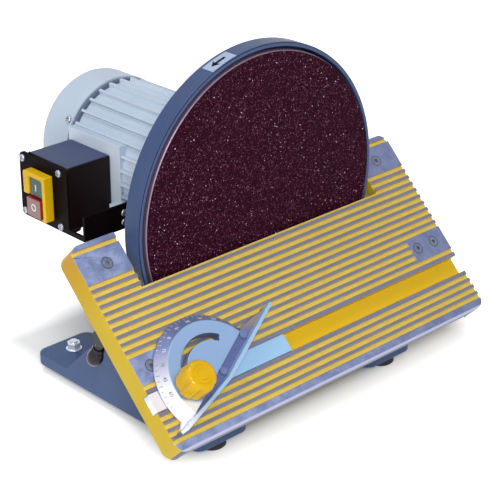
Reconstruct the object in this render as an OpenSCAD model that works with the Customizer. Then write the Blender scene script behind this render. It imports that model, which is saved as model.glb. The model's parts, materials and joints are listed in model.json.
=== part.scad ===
// Benchtop disc sander with a tilting slotted table, mitre gauge and side switch.
// Floor at z = 0, origin under the middle of the overall box, operator at -Y.

/* [Stance] */
// Height of the disc axis above the floor
axis_h = 208; // [205:1:228]
// Distance of the foot pattern's centre behind the abrasive face
foot_back = 54.5; // [52:0.5:57]
// Foot hole spacing across the machine
foot_pitch_x = 246; // [230:1:256]
// Foot hole spacing front to back
foot_pitch_y = 217; // [210:1:221]
// Rubber foot diameter
foot_d = 30; // [26:1:34]
// Rubber foot height below the skirt
foot_h = 9; // [8.5:0.5:13]
// Bench hole spacing across the machine
bench_pitch_x = 196; // [194:1:204]
// Bench hole spacing front to back
bench_pitch_y = 160; // [140:1:166]
// Distance of the bench pattern's centre behind the abrasive face
bench_back = 35; // [32:1:38]
// Bench hole diameter
bench_hole_d = 9; // [7:0.5:11]

/* [Disc] */
// Diameter of the sanding disc
disc_d = 305; // [295:1:312]
// Thickness of the aluminium disc plate
disc_t = 10; // [8:0.5:11]
// Thickness of the abrasive sheet
paper_t = 1.5; // [0.8:0.1:2]
// Hub diameter behind the disc
hub_d = 54; // [48:1:60]
// Hub length behind the disc
hub_len = 24; // [22:0.5:25]

/* [Guard] */
// Radial gap between the disc and its guard
guard_gap = 2.5; // [2:0.1:4]
// Wall of the guard rim
guard_wall = 5; // [4:0.25:6]
// Set-back of the rim's front edge behind the abrasive face
guard_setback = 3; // [2:0.5:5]
// Depth of the guard drum
guard_depth = 23; // [22:0.5:27]
// Thickness of the guard's back wall
guard_plate_t = 4; // [3:0.25:4.5]

/* [Base] */
// Height of the base skirt
skirt_h = 12.5; // [12:0.5:16]
// Thickness of the base deck
deck_t = 6; // [5:0.5:8]
// Thickness of the side webs
web_t = 8; // [6:0.5:10]
// Thickness of the upright that carries guard and motor
upright_t = 12; // [11:0.5:14]
// Reach of the base in front of the abrasive face
base_front = 71; // [69:1:78]
// Reach of the rear foot tabs behind the abrasive face
base_rear = 187; // [182:1:195]
// Length of the front toes
toe_len = 34; // [30:1:36]
// Length of the rear foot tabs
tab_len = 53; // [44:1:58]
// Width of the foot tabs and toes
tab_w = 71; // [60:1:90]
// Width of the upright where it leaves the deck
upright_w = 200; // [180:2:230]

/* [Motor] */
// Diameter over the motor's fin tips
motor_d = 144; // [140:1:146]
// Length of the finned frame
motor_len = 176; // [170:1:182]
// Height of the cooling fins
fin_h = 5; // [3:0.5:7]
// Number of cooling fin places
fin_n = 30; // [24:2:36]
// Thickness of a cooling fin
fin_t = 3; // [2:0.25:4]
// Length of the fan cowl
cowl_len = 47; // [45:1:54]
// Wall of the fan cowl
cowl_wall = 2; // [1.5:0.1:2.4]
// Pitch circle of the flange bolts
flange_pcd = 114; // [106:1:120]

/* [Table] */
// Overhang of the table beyond the middle of each trunnion
table_over = 31.5; // [30:0.5:38]
// Depth of the table in front of the disc notch
table_front = 161; // [158:1:170]
// Length of the wings beside the disc
wing_len = 57; // [55:0.5:62]
// Thickness of the table plate
plate_t = 10; // [9.5:0.25:12]
// Depth of the side skirts
skirt_side = 26; // [22:0.5:27]
// Depth of the front skirt
skirt_front = 18; // [14:0.5:22]
// Wall of the table skirts
skirt_t = 7; // [5:0.5:8]
// Gap between the table's edge and the abrasive
notch_gap = 4; // [3:0.25:6]
// Drop of the table's edge below the disc axis
notch_drop = 36.5; // [32:0.5:40]
// Side gap between the guard rim and the wings
notch_clear = 3; // [2:0.25:5]
// Pitch of the table grooves
groove_pitch = 8.15; // [8:0.05:8.3]
// Width of a table groove
groove_w = 4.2; // [3:0.1:5]
// Depth of a table groove
groove_depth = 2; // [1:0.25:3]
// Width of the mitre slot
slot_w = 19; // [18:0.25:20]
// Depth of the mitre slot
slot_depth = 9.5; // [8:0.25:11]

/* [Trunnions] */
// Radius of the tilt slot
arc_r = 52; // [50:0.5:56]
// Width of the tilt slot
arc_w = 14; // [13:0.25:16]
// Thickness of a trunnion plate
trunnion_t = 8; // [7:0.5:9]
// Length of the clamp spacers outside the webs
boss_len = 26.4; // [25:0.2:30]
// Length of a clamp lever from bolt to bulb
lever_len = 27; // [26:0.5:30]

/* [Mitre gauge] */
// Length of the guide bar
bar_len = 174; // [160:1:190]
// Radius of the protractor head
head_r = 62.5; // [60:0.5:64]
// Height of the protractor head
head_h = 12; // [10:0.5:14]
// Radius of the curved clamp slot
swing_r = 36; // [34:0.5:38]
// Length of the straight half of the fence
fence_far = 98; // [92:1:102]
// Length of the swept half of the fence
fence_near = 77; // [74:1:80]
// Height of the fence
fence_h = 19; // [16:0.5:24]
// Diameter of the clamp knob
knob_d = 33.5; // [30:0.5:35]
// Height of the clamp knob
knob_h = 26; // [22:0.5:27]

/* [Switch] */
// Depth of the switch box from motor pad to panel
box_x = 56; // [52:0.5:60]
// Length of the switch box along the motor
box_y = 66; // [62:0.5:70]
// Height of the switch box
box_z = 70; // [66:0.5:76]
// Width of the yellow switch housing
housing_y = 36; // [35:0.5:40]
// Height of the yellow switch housing
housing_z = 50; // [49:0.5:54]
// How far the switch housing stands proud
housing_x = 12; // [11:0.25:15]

/* [Hidden] */
$fn = 72;
cut = 1;            // overrun of every cut
gap = 0.3;          // running gap between bodies
fit = 0.1;          // clearance of a fastener in its hole
run = 0.06;         // radial clearance of a running fit
seat = 0.05;        // radial clearance of a seated ring
chamfer = 1;

// fasteners
m8_r = 4;
m8_head_af_r = 7.5;
m8_head_h = 5.5;
m6_r = 3;
m6_head_r = 6;
m6_socket_r = 2.4;
m4_r = 2;
m4_head_r = 4;
m4_head_h = 2.6;
foot_hole_r = 4.5;
foot_recess = 6.2;
nut_h = 6.5;
washer_h = 1.6;
washer_r = 8.5;
bolt_end = 2;
hex = 6;

// lengths along the disc axis, measured back from the abrasive face
disc_back = paper_t + disc_t;
guard_back = guard_setback + guard_depth;
upright_back = guard_back + upright_t;
shield_t = 10;
frame_y0 = upright_back + shield_t;
frame_y1 = frame_y0 + motor_len;
rear_shield_t = 16;
cowl_gap = 4;
cowl_y0 = frame_y1 + cowl_gap;
cowl_y1 = cowl_y0 + cowl_len;

// radii about the disc axis
disc_r = disc_d / 2;
guard_ri = disc_r + guard_gap;
guard_ro = guard_ri + guard_wall;
guard_bore = 42;
motor_r = motor_d / 2;
frame_wall = 9;
fin_root = motor_r - fin_h;
bore_r = fin_root - frame_wall;
cowl_step = 0.5;
cowl_r = motor_r + cowl_step;
cowl_ri = cowl_r - cowl_wall;
flange_step = 2;
flange_r = motor_r - flange_step;
shaft_r = 10;
shaft_hub_r = 9.5;
shaft_core_r = 12.5;
shaft_fan_r = 8;
bearing_r = 23.5;
bearing_w = 14;
bearing_setback = 6;
bearing_wall = 6.5;
bearing_bore = shaft_r + run;
spigot_len = 8;
spigot_wall = 8;
air_gap = 0.5;
stator_ri = 36;
stator_len = 80;
coil_len = 20;
coil_inset = 3;
stator_y0 = frame_y0 + (motor_len - stator_len) / 2;
stator_y1 = stator_y0 + stator_len;
front_bearing_y = upright_back + bearing_setback;
rear_bearing_y = frame_y1 - bearing_w - 2 * chamfer;
fan_gap = 2;
fan_y0 = frame_y1 + rear_shield_t + fan_gap;
fan_w = 16;
fan_plate = 2;
fan_hub_r = 14;
fan_clear = 9;
fan_r = cowl_ri - fan_clear;
fan_blades = 9;
shaft_end = fan_y0 + fan_w + chamfer;
shaft_cover = 3;
shaft_front = paper_t + shaft_cover;
key_w = 6;
key_h = 6;
key_len = 20;
hub_screw_y = disc_back + hub_len / 2;
cowl_dome = 11;
cowl_screw_ang = 32;
cowl_screw_in = 6;
cowl_screw_y = frame_y1 + rear_shield_t - cowl_screw_in;
grille_pitch = 12;
grille_r = 3;
grille_rows = 4;
holes_per_row = 6;

// base
deck_top = foot_h + skirt_h;
deck_rear = base_rear - tab_len;
deck_front = toe_len - base_front;
skirt_wall = 6;
corner_r = 12;
foot_boss_r = 15;
ear_r = 13;
ear_clear = 6;
guard_clear = 3;
stud_ang = 17;
pivot_y = -notch_gap;
pivot_z = axis_h - notch_drop;
stud_y = pivot_y + arc_r * sin(stud_ang);
stud_z = pivot_z - arc_r * cos(stud_ang);
ear_in = sqrt(pow(guard_ro, 2) - pow(axis_h - stud_z - ear_r, 2)) + ear_clear;
base_hw = ear_in + web_t;
web_front = 20;
upright_rim = 12;
upright_r = motor_r + upright_rim;
upright_bore = 40;
gusset_t = 8;
gusset_x = 70;
gusset_h = 110;
gusset_back = 8;
bench_boss_r = 10;

// trunnions and table
tilt = 45;
trunnion_in = base_hw + boss_len + gap;
trunnion_mid = trunnion_in + trunnion_t / 2;
trunnion_out = trunnion_in + trunnion_t;
table_hw = trunnion_mid + table_over;
notch_hw = guard_ro + notch_clear;
table_r = 12;
front_bevel = 2.5;
groove_s0 = -16;
rear_rib = 5.3;
rear_groove_s = -wing_len + rear_rib;
pad_in = notch_hw + chamfer;
pad_first_n = 10;
pad_last_n = 12;
slot_first_n = 14;
slot_last_n = 16;
groove_last = 20;
slot_mid = groove_s0 + (slot_first_n + slot_last_n) / 2 * groove_pitch + groove_w / 2;
slot_rib = 10;
slot_floor = 8;
rib_t = 6;
rib_depth = 9;
rib_shares = [0.26, 0.86];
cross_shares = [-0.5, 0, 0.5];
shoe_ang = 13;
slot_spare_ang = 1;
arc_rim = 11;
flange_t = 8;
flange_len = 26;
flange_slot_gap = 0.85;
flange_front_s = slot_mid - slot_w / 2 - slot_rib - flange_len / 2 - flange_slot_gap;
flange_rear_s = -31;
rear_flange_hw = 12;
flange_clear = 2.5;
flange_hw = table_over - skirt_t - flange_clear;
screw_dx = 12.5;
lever_hub_r = 9;
lever_arm_r = 4.5;
lever_bulb_r = 8.2;
lever_bulb_len = 25;
lever_ang = 26;
lever_hub_len = 15;
lever_x = trunnion_out + gap + lever_hub_len - lever_arm_r;
bulb_steps = 16;

// mitre gauge
bar_clear = 0.3;
bar_w = slot_w - 2 * bar_clear;
bar_t = slot_depth - 2 * bar_clear;
bar_top = -0.2;
pointer_len = 10.5;
pointer_gap = 0.5;
pivot_from_end = pointer_len + pointer_gap + head_r;
bar_x0 = -table_hw;
gauge_x = bar_x0 + pivot_from_end;
swivel_ang = 60;
head_lift = 0.6;
head_bevel = 10;
head_top_r = head_r - head_bevel;
head_rim_h = 1.5;
swing_w = 7;
swing_ang = 60;
swing_spare_ang = 5;
sill_w = 9.5;
sill_h = 5;
sill_inset = 1;
sill_back = 6;
fence_t = 3.5;
fence_foot_t = 2;
sweep_ang = 9.7;
fence_screw_far = 55;
fence_screw_near = 7;
fence_screw_head = 1.8;
pivot_cover = 1;
knob_washer_h = 1.2;
knob_flutes = 6;
flute_r = 5.2;
flute_out = 2.8;
knob_crown = 3;
pointer_t = 0.9;

// inner corner where the fence's halves meet, where the swept half crosses the head's edge, and its end
fence_bend = [sill_w, fence_t * tan(sweep_ang / 2)];
near_cross = fence_bend[1] - sill_w / tan(sweep_ang);
near_end = [sill_w + fence_t - fence_near * sin(sweep_ang), -fence_near * cos(sweep_ang)];

// switch
pad_step = 2;
pad_x = motor_r - pad_step;
pad_y = 84;
pad_top = 36;
pad_bottom = 48;
box_wall = 2.5;
box_inset = 3;
box_y0 = frame_y1 - box_y - box_inset;
box_top = 23;
panel_t = 3;
panel_lip = 2;
panel_rear = 12;
panel_r = 6;
panel_x = pad_x + box_x;
panel_y0 = box_y0 - panel_lip;
panel_y1 = box_y0 + box_y + panel_rear;
panel_z0 = box_top - box_z - panel_lip;
panel_z1 = box_top - chamfer;
strip_h = 6;
strip_len = 23;
leg_h = 28;
leg_y0 = panel_y0 - strip_len - panel_t;
lug_x = 82;
lug_in = 52;
lug_y = 15;
lug_z0 = -47;
lug_z1 = -25;
lug_screw_x = 77;
lug_screw_z = -31;
lug_screw_pitch = 10;
panel_screw_in = 12;
panel_screw_edge = 6;
screw_boss_r = 5;
housing_in = 23;
housing_drop = 12;
housing_y0 = panel_y0 + housing_in;
housing_z1 = panel_z1 - housing_drop;
housing_wall = 5;
housing_left = 9;
housing_cut = 25;
button_gap = 0.4;
button_back = 3.3;
start_sunk = 2;
stop_proud = 2;
stop_wide = 1.5;
button_split = 21;
switch_body_x = 34;
housing_x0 = panel_x + panel_t;
housing_y1 = housing_y0 + housing_y;
housing_z0 = housing_z1 - housing_z;
window_y0 = housing_y0 + housing_wall;
window_y1 = housing_y1 - housing_left;
window_z0 = housing_z0 + housing_wall / 2;
window_z1 = housing_z1 - housing_wall;
split_z = window_z1 - button_split;
gland_r = 9;
gland_nut_r = 11;
gland_len = 16;
gland_nut = 6;
gland_bore = 4;

// the abrasive face lies this far in front of the origin, under the middle of the overall box
fence_reach = slot_mid + near_end[0] * sin(swivel_ang) - near_end[1] * cos(swivel_ang);
front_reach = notch_gap + cos(tilt) * fence_reach + sin(tilt) * (head_lift + fence_h);
face_y = (cowl_y1 - front_reach) / 2;

frame_blue = [0.29, 0.37, 0.52];
motor_grey = [0.80, 0.84, 0.89];
table_yellow = [0.86, 0.70, 0.20];
bare_alu = [0.74, 0.76, 0.79];
steel = [0.66, 0.68, 0.70];
dark_steel = [0.35, 0.36, 0.38];
black = [0.09, 0.08, 0.09];
switch_yellow = [0.85, 0.66, 0.10];
silver_blue = [0.68, 0.76, 0.86];
abrasive_red = [0.20, 0.06, 0.13];
copper = [0.72, 0.42, 0.22];
rubber = [0.07, 0.07, 0.07];

// frames
module at_floor() { translate([0, -face_y, 0]) children(); }
module at_axis() { translate([0, -face_y, axis_h]) children(); }
module at_table() { at_axis() translate([0, -notch_gap, -notch_drop]) rotate([tilt, 0, 0]) children(); }
module at_gauge() { at_table() translate([gauge_x, -slot_mid, 0]) rotate([0, 0, -swivel_ang]) children(); }
module sided(s) { if (s < 0) mirror([1, 0, 0]) children(); else children(); }

// shapes along an axis
module ycyl(r, y0, y1) { translate([0, y0, 0]) rotate([-90, 0, 0]) cylinder(r = r, h = y1 - y0); }
module xcyl(r, x0, x1) { translate([x0, 0, 0]) rotate([0, 90, 0]) cylinder(r = r, h = x1 - x0); }
module zcyl(r, z0, z1) { translate([0, 0, z0]) cylinder(r = r, h = z1 - z0); }
module block(x0, x1, y0, y1, z0, z1) { translate([x0, y0, z0]) cube([x1 - x0, y1 - y0, z1 - z0]); }
module yspin() { rotate([-90, 0, 0]) rotate_extrude() children(); }
module yz_plate(x0, t) { translate([x0, 0, 0]) rotate([90, 0, 90]) linear_extrude(t) children(); }
module xz_plate(y0, t) { translate([0, y0 + t, 0]) rotate([90, 0, 0]) linear_extrude(t) children(); }
module ring(r0, r1, y0, y1) {
    difference() {
        ycyl(r1, y0, y1);
        ycyl(r0, y0 - cut, y1 + cut);
    }
}
module rrect(x0, x1, y0, y1, r) {
    translate([x0 + r, y0]) square([x1 - x0 - 2 * r, y1 - y0]);
    translate([x0, y0 + r]) square([x1 - x0, y1 - y0 - 2 * r]);
    for (x = [x0 + r, x1 - r], y = [y0 + r, y1 - r]) translate([x, y]) circle(r);
}
// point where a line from p touches the circle of radius r about c
function tangent_pt(p, c, r, side) =
    let (d = p - c, a = atan2(d[1], d[0]) + side * acos(r / norm(d))) c + r * [cos(a), sin(a)];
function polar(r, a) = [r * cos(a), r * sin(a)];

module at_corners(pitch_x, pitch_y, back) {
    at_floor() for (x = [-pitch_x / 2, pitch_x / 2], y = [back - pitch_y / 2, back + pitch_y / 2])
        translate([x, y, 0]) children();
}
module at_feet() { at_corners(foot_pitch_x, foot_pitch_y, foot_back) children(); }
module at_bench_holes() { at_corners(bench_pitch_x, bench_pitch_y, bench_back) children(); }
module at_flange_bolts() {
    for (a = [45 : 90 : 315]) rotate([0, a, 0]) translate([flange_pcd / 2, 0, 0]) children();
}

// base
module deck_plan(inset) {
    translate([-base_hw + tab_w / 2, deck_front + inset])
        square([2 * base_hw - tab_w, deck_rear - deck_front - 2 * inset]);
    for (s = [-1, 1]) scale([s, 1])
        rrect(base_hw - tab_w + inset, base_hw - inset, -base_front + inset, base_rear - inset, corner_r);
}
module web_outline() {
    c = [stud_y, stud_z];
    front = [web_front - base_front, deck_top];
    rear = [deck_rear, deck_top];
    polygon([[front[0], deck_top - deck_t], [rear[0], deck_top - deck_t], rear,
        tangent_pt(rear, c, ear_r, 1), tangent_pt(front, c, ear_r, -1), front]);
    translate(c) circle(ear_r);
}
module upright_outline() {
    c = [0, axis_h];
    foot = [upright_w / 2, deck_top];
    right = tangent_pt(foot, c, upright_r - chamfer, 1);
    polygon([[-foot[0], deck_top - deck_t], [foot[0], deck_top - deck_t], foot, right,
        [-right[0], right[1]], [-foot[0], foot[1]]]);
    translate(c) circle(upright_r);
}
module base_frame() {
    color(frame_blue) difference() {
        union() {
            at_floor() {
                difference() {
                    translate([0, 0, foot_h]) linear_extrude(skirt_h) deck_plan(0);
                    translate([0, 0, foot_h - cut]) linear_extrude(skirt_h - deck_t + cut)
                        deck_plan(skirt_wall);
                }
                for (s = [-1, 1]) sided(s) {
                    yz_plate(ear_in, web_t) web_outline();
                    yz_plate(gusset_x - gusset_t / 2, gusset_t) polygon([
                        [upright_back - cut, deck_top - deck_t],
                        [deck_rear - gusset_back, deck_top - deck_t],
                        [deck_rear - gusset_back, deck_top],
                        [upright_back, deck_top + gusset_h],
                        [upright_back - cut, deck_top + gusset_h]]);
                }
                xz_plate(guard_back, upright_t) upright_outline();
            }
            at_feet() zcyl(foot_boss_r, foot_h, deck_top - deck_t / 2);
            at_bench_holes() zcyl(bench_boss_r, foot_h, deck_top - deck_t / 2);
        }
        at_feet() zcyl(foot_hole_r, foot_h - cut, deck_top + cut);
        at_bench_holes() zcyl(bench_hole_d / 2, foot_h - cut, deck_top + cut);
        at_axis() {
            ycyl(guard_ro + guard_clear, guard_setback - guard_clear, guard_back);
            ycyl(upright_bore, guard_back - cut, upright_back + cut);
            at_flange_bolts() ycyl(m8_r + fit, guard_back - cut, upright_back + cut);
        }
        at_floor() for (s = [-1, 1]) sided(s) translate([0, stud_y, stud_z])
            xcyl(m8_r + fit, ear_in - cut, base_hw + cut);
    }
}
module rubber_feet() {
    color(rubber) at_feet() difference() {
        rotate_extrude() polygon([[0, 0], [foot_d / 2 - 2 * chamfer, 0], [foot_d / 2, 2 * chamfer],
            [foot_d / 2 - chamfer, foot_h], [0, foot_h]]);
        zcyl(m8_r + fit, -cut, foot_h + cut);
        zcyl(m8_head_af_r + chamfer, -cut, foot_recess);
    }
}
module foot_bolts() {
    color(steel) at_feet() {
        cylinder_hex(foot_recess - m8_head_h, foot_recess);
        zcyl(m8_r, foot_recess - cut, deck_top + washer_h + nut_h + bolt_end);
    }
}
module cylinder_hex(z0, z1) { translate([0, 0, z0]) cylinder(r = m8_head_af_r, h = z1 - z0, $fn = hex); }
module foot_nuts() {
    color(steel) at_feet() difference() {
        union() {
            zcyl(washer_r, deck_top, deck_top + washer_h);
            cylinder_hex(deck_top + washer_h, deck_top + washer_h + nut_h);
        }
        zcyl(m8_r + seat, deck_top - cut, deck_top + washer_h + nut_h + cut);
    }
}

// guard and motor
module disc_guard() {
    color(frame_blue) at_axis() difference() {
        yspin() polygon([[guard_bore, guard_back - guard_plate_t], [guard_ri, guard_back - guard_plate_t],
            [guard_ri, guard_setback + chamfer], [guard_ri + chamfer, guard_setback],
            [guard_ro - chamfer, guard_setback], [guard_ro, guard_setback + chamfer],
            [guard_ro, guard_back - 2 * chamfer], [guard_ro - 2 * chamfer, guard_back],
            [guard_bore, guard_back]]);
        at_flange_bolts() ycyl(m8_r + fit, guard_back - guard_plate_t - cut, guard_back + cut);
    }
}
module motor_bolts() {
    head_y = guard_back - guard_plate_t;
    color(steel) at_axis() at_flange_bolts() {
        translate([0, head_y, 0]) rotate([90, 0, 0]) cylinder(r = m8_head_af_r, h = m8_head_h, $fn = hex);
        ycyl(m8_r, head_y, frame_y0 - 2 * chamfer);
    }
}
module front_end_shield() {
    seat_r = bearing_r + seat;
    hub_r = seat_r + bearing_wall;
    spigot_r = bore_r - fit;
    inner = frame_y0 + 2 * chamfer;
    color(motor_grey) at_axis() difference() {
        yspin() polygon([[shaft_r + chamfer, upright_back], [flange_r, upright_back], [flange_r, frame_y0],
            [spigot_r, frame_y0], [spigot_r, frame_y0 + spigot_len],
            [spigot_r - spigot_wall, frame_y0 + spigot_len], [spigot_r - spigot_wall, inner],
            [hub_r, inner], [hub_r, front_bearing_y + bearing_w], [seat_r, front_bearing_y + bearing_w],
            [seat_r, front_bearing_y], [shaft_r + chamfer, front_bearing_y]]);
        at_flange_bolts() ycyl(m8_r + fit, upright_back - cut, frame_y0 - chamfer);
    }
}
module motor_frame() {
    first_ang = 4;
    color(motor_grey) at_axis() difference() {
        union() {
            difference() {
                union() {
                    ycyl(fin_root, frame_y0, frame_y1);
                    for (i = [0 : fin_n - 1]) rotate([0, -first_ang - i * 360 / fin_n, 0])
                        block(fin_root - cut, motor_r, frame_y0, frame_y1, -fin_t / 2, fin_t / 2);
                }
                block(-motor_r - cut, -pad_x, frame_y1 - pad_y, frame_y1 + cut, -pad_bottom, pad_top);
            }
            block(-pad_x, -bore_r, frame_y1 - pad_y, frame_y1, -pad_bottom, pad_top);
            block(-lug_x, -lug_in, leg_y0 + panel_t, leg_y0 + panel_t + lug_y, lug_z0, lug_z1);
        }
        ycyl(bore_r, frame_y0 - cut, frame_y1 + cut);
        for (z = [lug_screw_z, lug_screw_z - lug_screw_pitch]) translate([-lug_screw_x, 0, z])
            ycyl(m4_r + fit, leg_y0, leg_y0 + panel_t + lug_y - chamfer);
    }
}
module rear_end_shield() {
    seat_r = bearing_r + seat;
    hub_r = seat_r + bearing_wall;
    spigot_r = bore_r - fit;
    shield_r = cowl_ri - fit;
    back = frame_y1 + rear_shield_t;
    inner = frame_y1 - 2 * chamfer;
    color(motor_grey) at_axis() difference() {
        yspin() polygon([[shaft_r + chamfer, rear_bearing_y + bearing_w], [seat_r, rear_bearing_y + bearing_w],
            [seat_r, rear_bearing_y], [hub_r, rear_bearing_y], [hub_r, inner],
            [spigot_r - spigot_wall, inner], [spigot_r - spigot_wall, frame_y1 - spigot_len],
            [spigot_r, frame_y1 - spigot_len], [spigot_r, frame_y1], [shield_r, frame_y1],
            [shield_r, back], [shield_r - spigot_wall, back], [shield_r - spigot_wall, frame_y1 + fin_h],
            [shaft_r + chamfer, frame_y1 + fin_h]]);
        at_cowl_screws() xcyl(m4_r + fit, shield_r - spigot_wall - cut, shield_r + cut);
    }
}
module at_cowl_screws() {
    for (a = [cowl_screw_ang, 180 - cowl_screw_ang, 180 + cowl_screw_ang, -cowl_screw_ang])
        rotate([0, -a, 0]) translate([0, cowl_screw_y, 0]) children();
}
module stator_core() {
    color(dark_steel) at_axis() ring(stator_ri, bore_r - seat, stator_y0, stator_y1);
}
module coil_half(y0) {
    r0 = stator_ri + coil_inset;
    r1 = bore_r - coil_inset;
    rim = coil_len / 4;
    yspin() rrect(r0, r1, y0, y0 + coil_len, rim);
}
module stator_windings() {
    color(copper) at_axis() {
        coil_half(stator_y0 - coil_len);
        coil_half(stator_y1);
    }
}
module bearing(y0) {
    rim = 5;
    groove = 1;
    color(steel) at_axis() yspin() polygon([[bearing_bore, y0], [bearing_bore + rim, y0],
        [bearing_bore + rim, y0 + groove], [bearing_r - rim, y0 + groove], [bearing_r - rim, y0],
        [bearing_r, y0], [bearing_r, y0 + bearing_w], [bearing_r - rim, y0 + bearing_w],
        [bearing_r - rim, y0 + bearing_w - groove], [bearing_bore + rim, y0 + bearing_w - groove],
        [bearing_bore + rim, y0 + bearing_w], [bearing_bore, y0 + bearing_w]]);
}
module front_bearing() { bearing(front_bearing_y); }
module rear_bearing() { bearing(rear_bearing_y); }

module cowl_profile(r, y1, dome) {
    translate([0, cowl_y0]) square([r, y1 - dome - cowl_y0]);
    translate([0, cowl_y0]) square([r - dome, y1 - cowl_y0]);
    translate([r - dome, y1 - dome]) circle(dome);
}
module fan_cowl() {
    color(motor_grey) at_axis() difference() {
        yspin() difference() {
            cowl_profile(cowl_r, cowl_y1, cowl_dome);
            cowl_profile(cowl_ri, cowl_y1 - cowl_wall, cowl_dome - cowl_wall);
            translate([0, cowl_y0 - cut]) square([cowl_ri, 2 * cut]);
        }
        for (row = [1 : grille_rows], i = [0 : row * holes_per_row - 1])
            rotate([0, i * 360 / row / holes_per_row, 0]) translate([row * grille_pitch, 0, 0])
                ycyl(grille_r, cowl_y1 - cowl_wall - cut, cowl_y1 + cut);
        at_cowl_screws() xcyl(m4_r + fit, cowl_ri - cut, cowl_r + cut);
    }
}
module cowl_screws() {
    color(steel) at_axis() at_cowl_screws() {
        xcyl(m4_r, cowl_ri - spigot_wall + chamfer, cowl_r + chamfer);
        xcyl(m4_head_r, cowl_r, cowl_r + m4_head_h);
    }
}

// rotor
module rotor_shaft() {
    color(steel) at_axis() difference() {
        union() {
            ycyl(shaft_hub_r, shaft_front, upright_back);
            ycyl(shaft_r, upright_back, front_bearing_y + bearing_w + gap);
            ycyl(shaft_core_r, front_bearing_y + bearing_w + gap, rear_bearing_y - gap);
            ycyl(shaft_r, rear_bearing_y - gap, rear_bearing_y + bearing_w + gap);
            ycyl(shaft_fan_r, rear_bearing_y + bearing_w, shaft_end);
        }
        block(-key_w / 2, key_w / 2, disc_back, disc_back + key_len, shaft_hub_r - key_h / 2, shaft_r + cut);
    }
}
module shaft_key() {
    color(dark_steel) at_axis() block(-key_w / 2, key_w / 2, disc_back, disc_back + key_len,
        shaft_hub_r - key_h / 2, shaft_hub_r + key_h / 2);
}
module rotor_core() {
    core_r = stator_ri - air_gap;
    end_len = 5;
    color(dark_steel) at_axis() difference() {
        union() {
            ycyl(core_r, stator_y0, stator_y1);
            ycyl(core_r - coil_inset, stator_y0 - end_len, stator_y1 + end_len);
        }
        ycyl(shaft_core_r + seat, stator_y0 - end_len - cut, stator_y1 + end_len + cut);
    }
}
module cooling_fan() {
    blade_t = 2.5;
    color(black) at_axis() difference() {
        union() {
            ycyl(fan_hub_r, fan_y0, fan_y0 + fan_w);
            ycyl(fan_r, fan_y0, fan_y0 + fan_plate);
            for (i = [0 : fan_blades - 1]) rotate([0, i * 360 / fan_blades, 0])
                block(fan_hub_r - cut, fan_r - chamfer, fan_y0, fan_y0 + fan_w, -blade_t / 2, blade_t / 2);
        }
        ycyl(shaft_fan_r + seat, fan_y0 - cut, fan_y0 + fan_w + cut);
    }
}
module at_hub_screws() {
    for (a = [0, 180]) rotate([0, a, 0]) translate([0, hub_screw_y, 0]) children();
}
module disc_plate() {
    color(bare_alu) at_axis() difference() {
        union() {
            yspin() polygon([[0, paper_t], [disc_r - chamfer, paper_t], [disc_r, paper_t + chamfer],
                [disc_r, disc_back - chamfer], [disc_r - chamfer, disc_back], [0, disc_back]]);
            yspin() polygon([[0, disc_back - cut], [hub_d / 2 + 3 * chamfer, disc_back - cut],
                [hub_d / 2 + 3 * chamfer, disc_back], [hub_d / 2, disc_back + 3 * chamfer],
                [hub_d / 2, disc_back + hub_len - chamfer], [hub_d / 2 - chamfer, disc_back + hub_len],
                [0, disc_back + hub_len]]);
        }
        ycyl(shaft_hub_r + seat, shaft_front - chamfer, disc_back + hub_len + cut);
        block(-key_w / 2, key_w / 2, disc_back, disc_back + hub_len + cut, 0, shaft_hub_r + key_h / 2);
        at_hub_screws() xcyl(m6_r + fit, shaft_hub_r, hub_d / 2 + cut);
    }
}
module hub_screws() {
    color(dark_steel) at_axis() at_hub_screws() difference() {
        xcyl(m6_r, shaft_hub_r + seat, hub_d / 2 - chamfer);
        translate([hub_d / 2, 0, 0]) rotate([0, -90, 0]) cylinder(r = m6_r / 2, h = m6_r + chamfer, $fn = hex);
    }
}
module abrasive_disc() { color(abrasive_red) at_axis() ycyl(disc_r - chamfer, 0, paper_t); }

// switch
module switch_box() {
    z0 = box_top - box_z;
    y1 = box_y0 + box_y;
    color(black) at_axis() difference() {
        union() {
            block(-panel_x, -pad_x, box_y0, y1, z0, box_top);
            block(-panel_x, -panel_x + panel_t, y1 - cut, panel_y1 - chamfer, z0, box_top - 2 * chamfer);
        }
        block(-panel_x - cut, -pad_x - box_wall, box_y0 + box_wall, y1 - box_wall,
            z0 + box_wall, box_top - box_wall);
        at_panel_screws() xcyl(m4_r + fit, -cut, panel_t + cut);
        translate([-pad_x - box_x / 2, box_y0 + box_y / 2, 0])
            zcyl(gland_r + fit, z0 - cut, z0 + box_wall + cut);
    }
    color(black) at_axis() difference() {
        intersection() {
            block(-panel_x, -pad_x, box_y0, y1, z0, box_top);
            for (z = [panel_z0 + panel_screw_edge, panel_z1 - panel_screw_edge])
                translate([-panel_x, panel_y0 + panel_screw_in, z]) xcyl(screw_boss_r, panel_t / 2, box_x / 3);
        }
        at_panel_screws() xcyl(m4_r + fit, -cut, box_x);
    }
}
module at_panel_screws() {
    for (y = [panel_y0 + panel_screw_in, panel_y1 - panel_screw_edge],
         z = [panel_z0 + panel_screw_edge, panel_z1 - panel_screw_edge])
        translate([-panel_x, y, z]) children();
}
module at_bracket_screws() {
    for (z = [lug_screw_z, lug_screw_z - lug_screw_pitch]) translate([-lug_screw_x, 0, z]) children();
}
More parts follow.
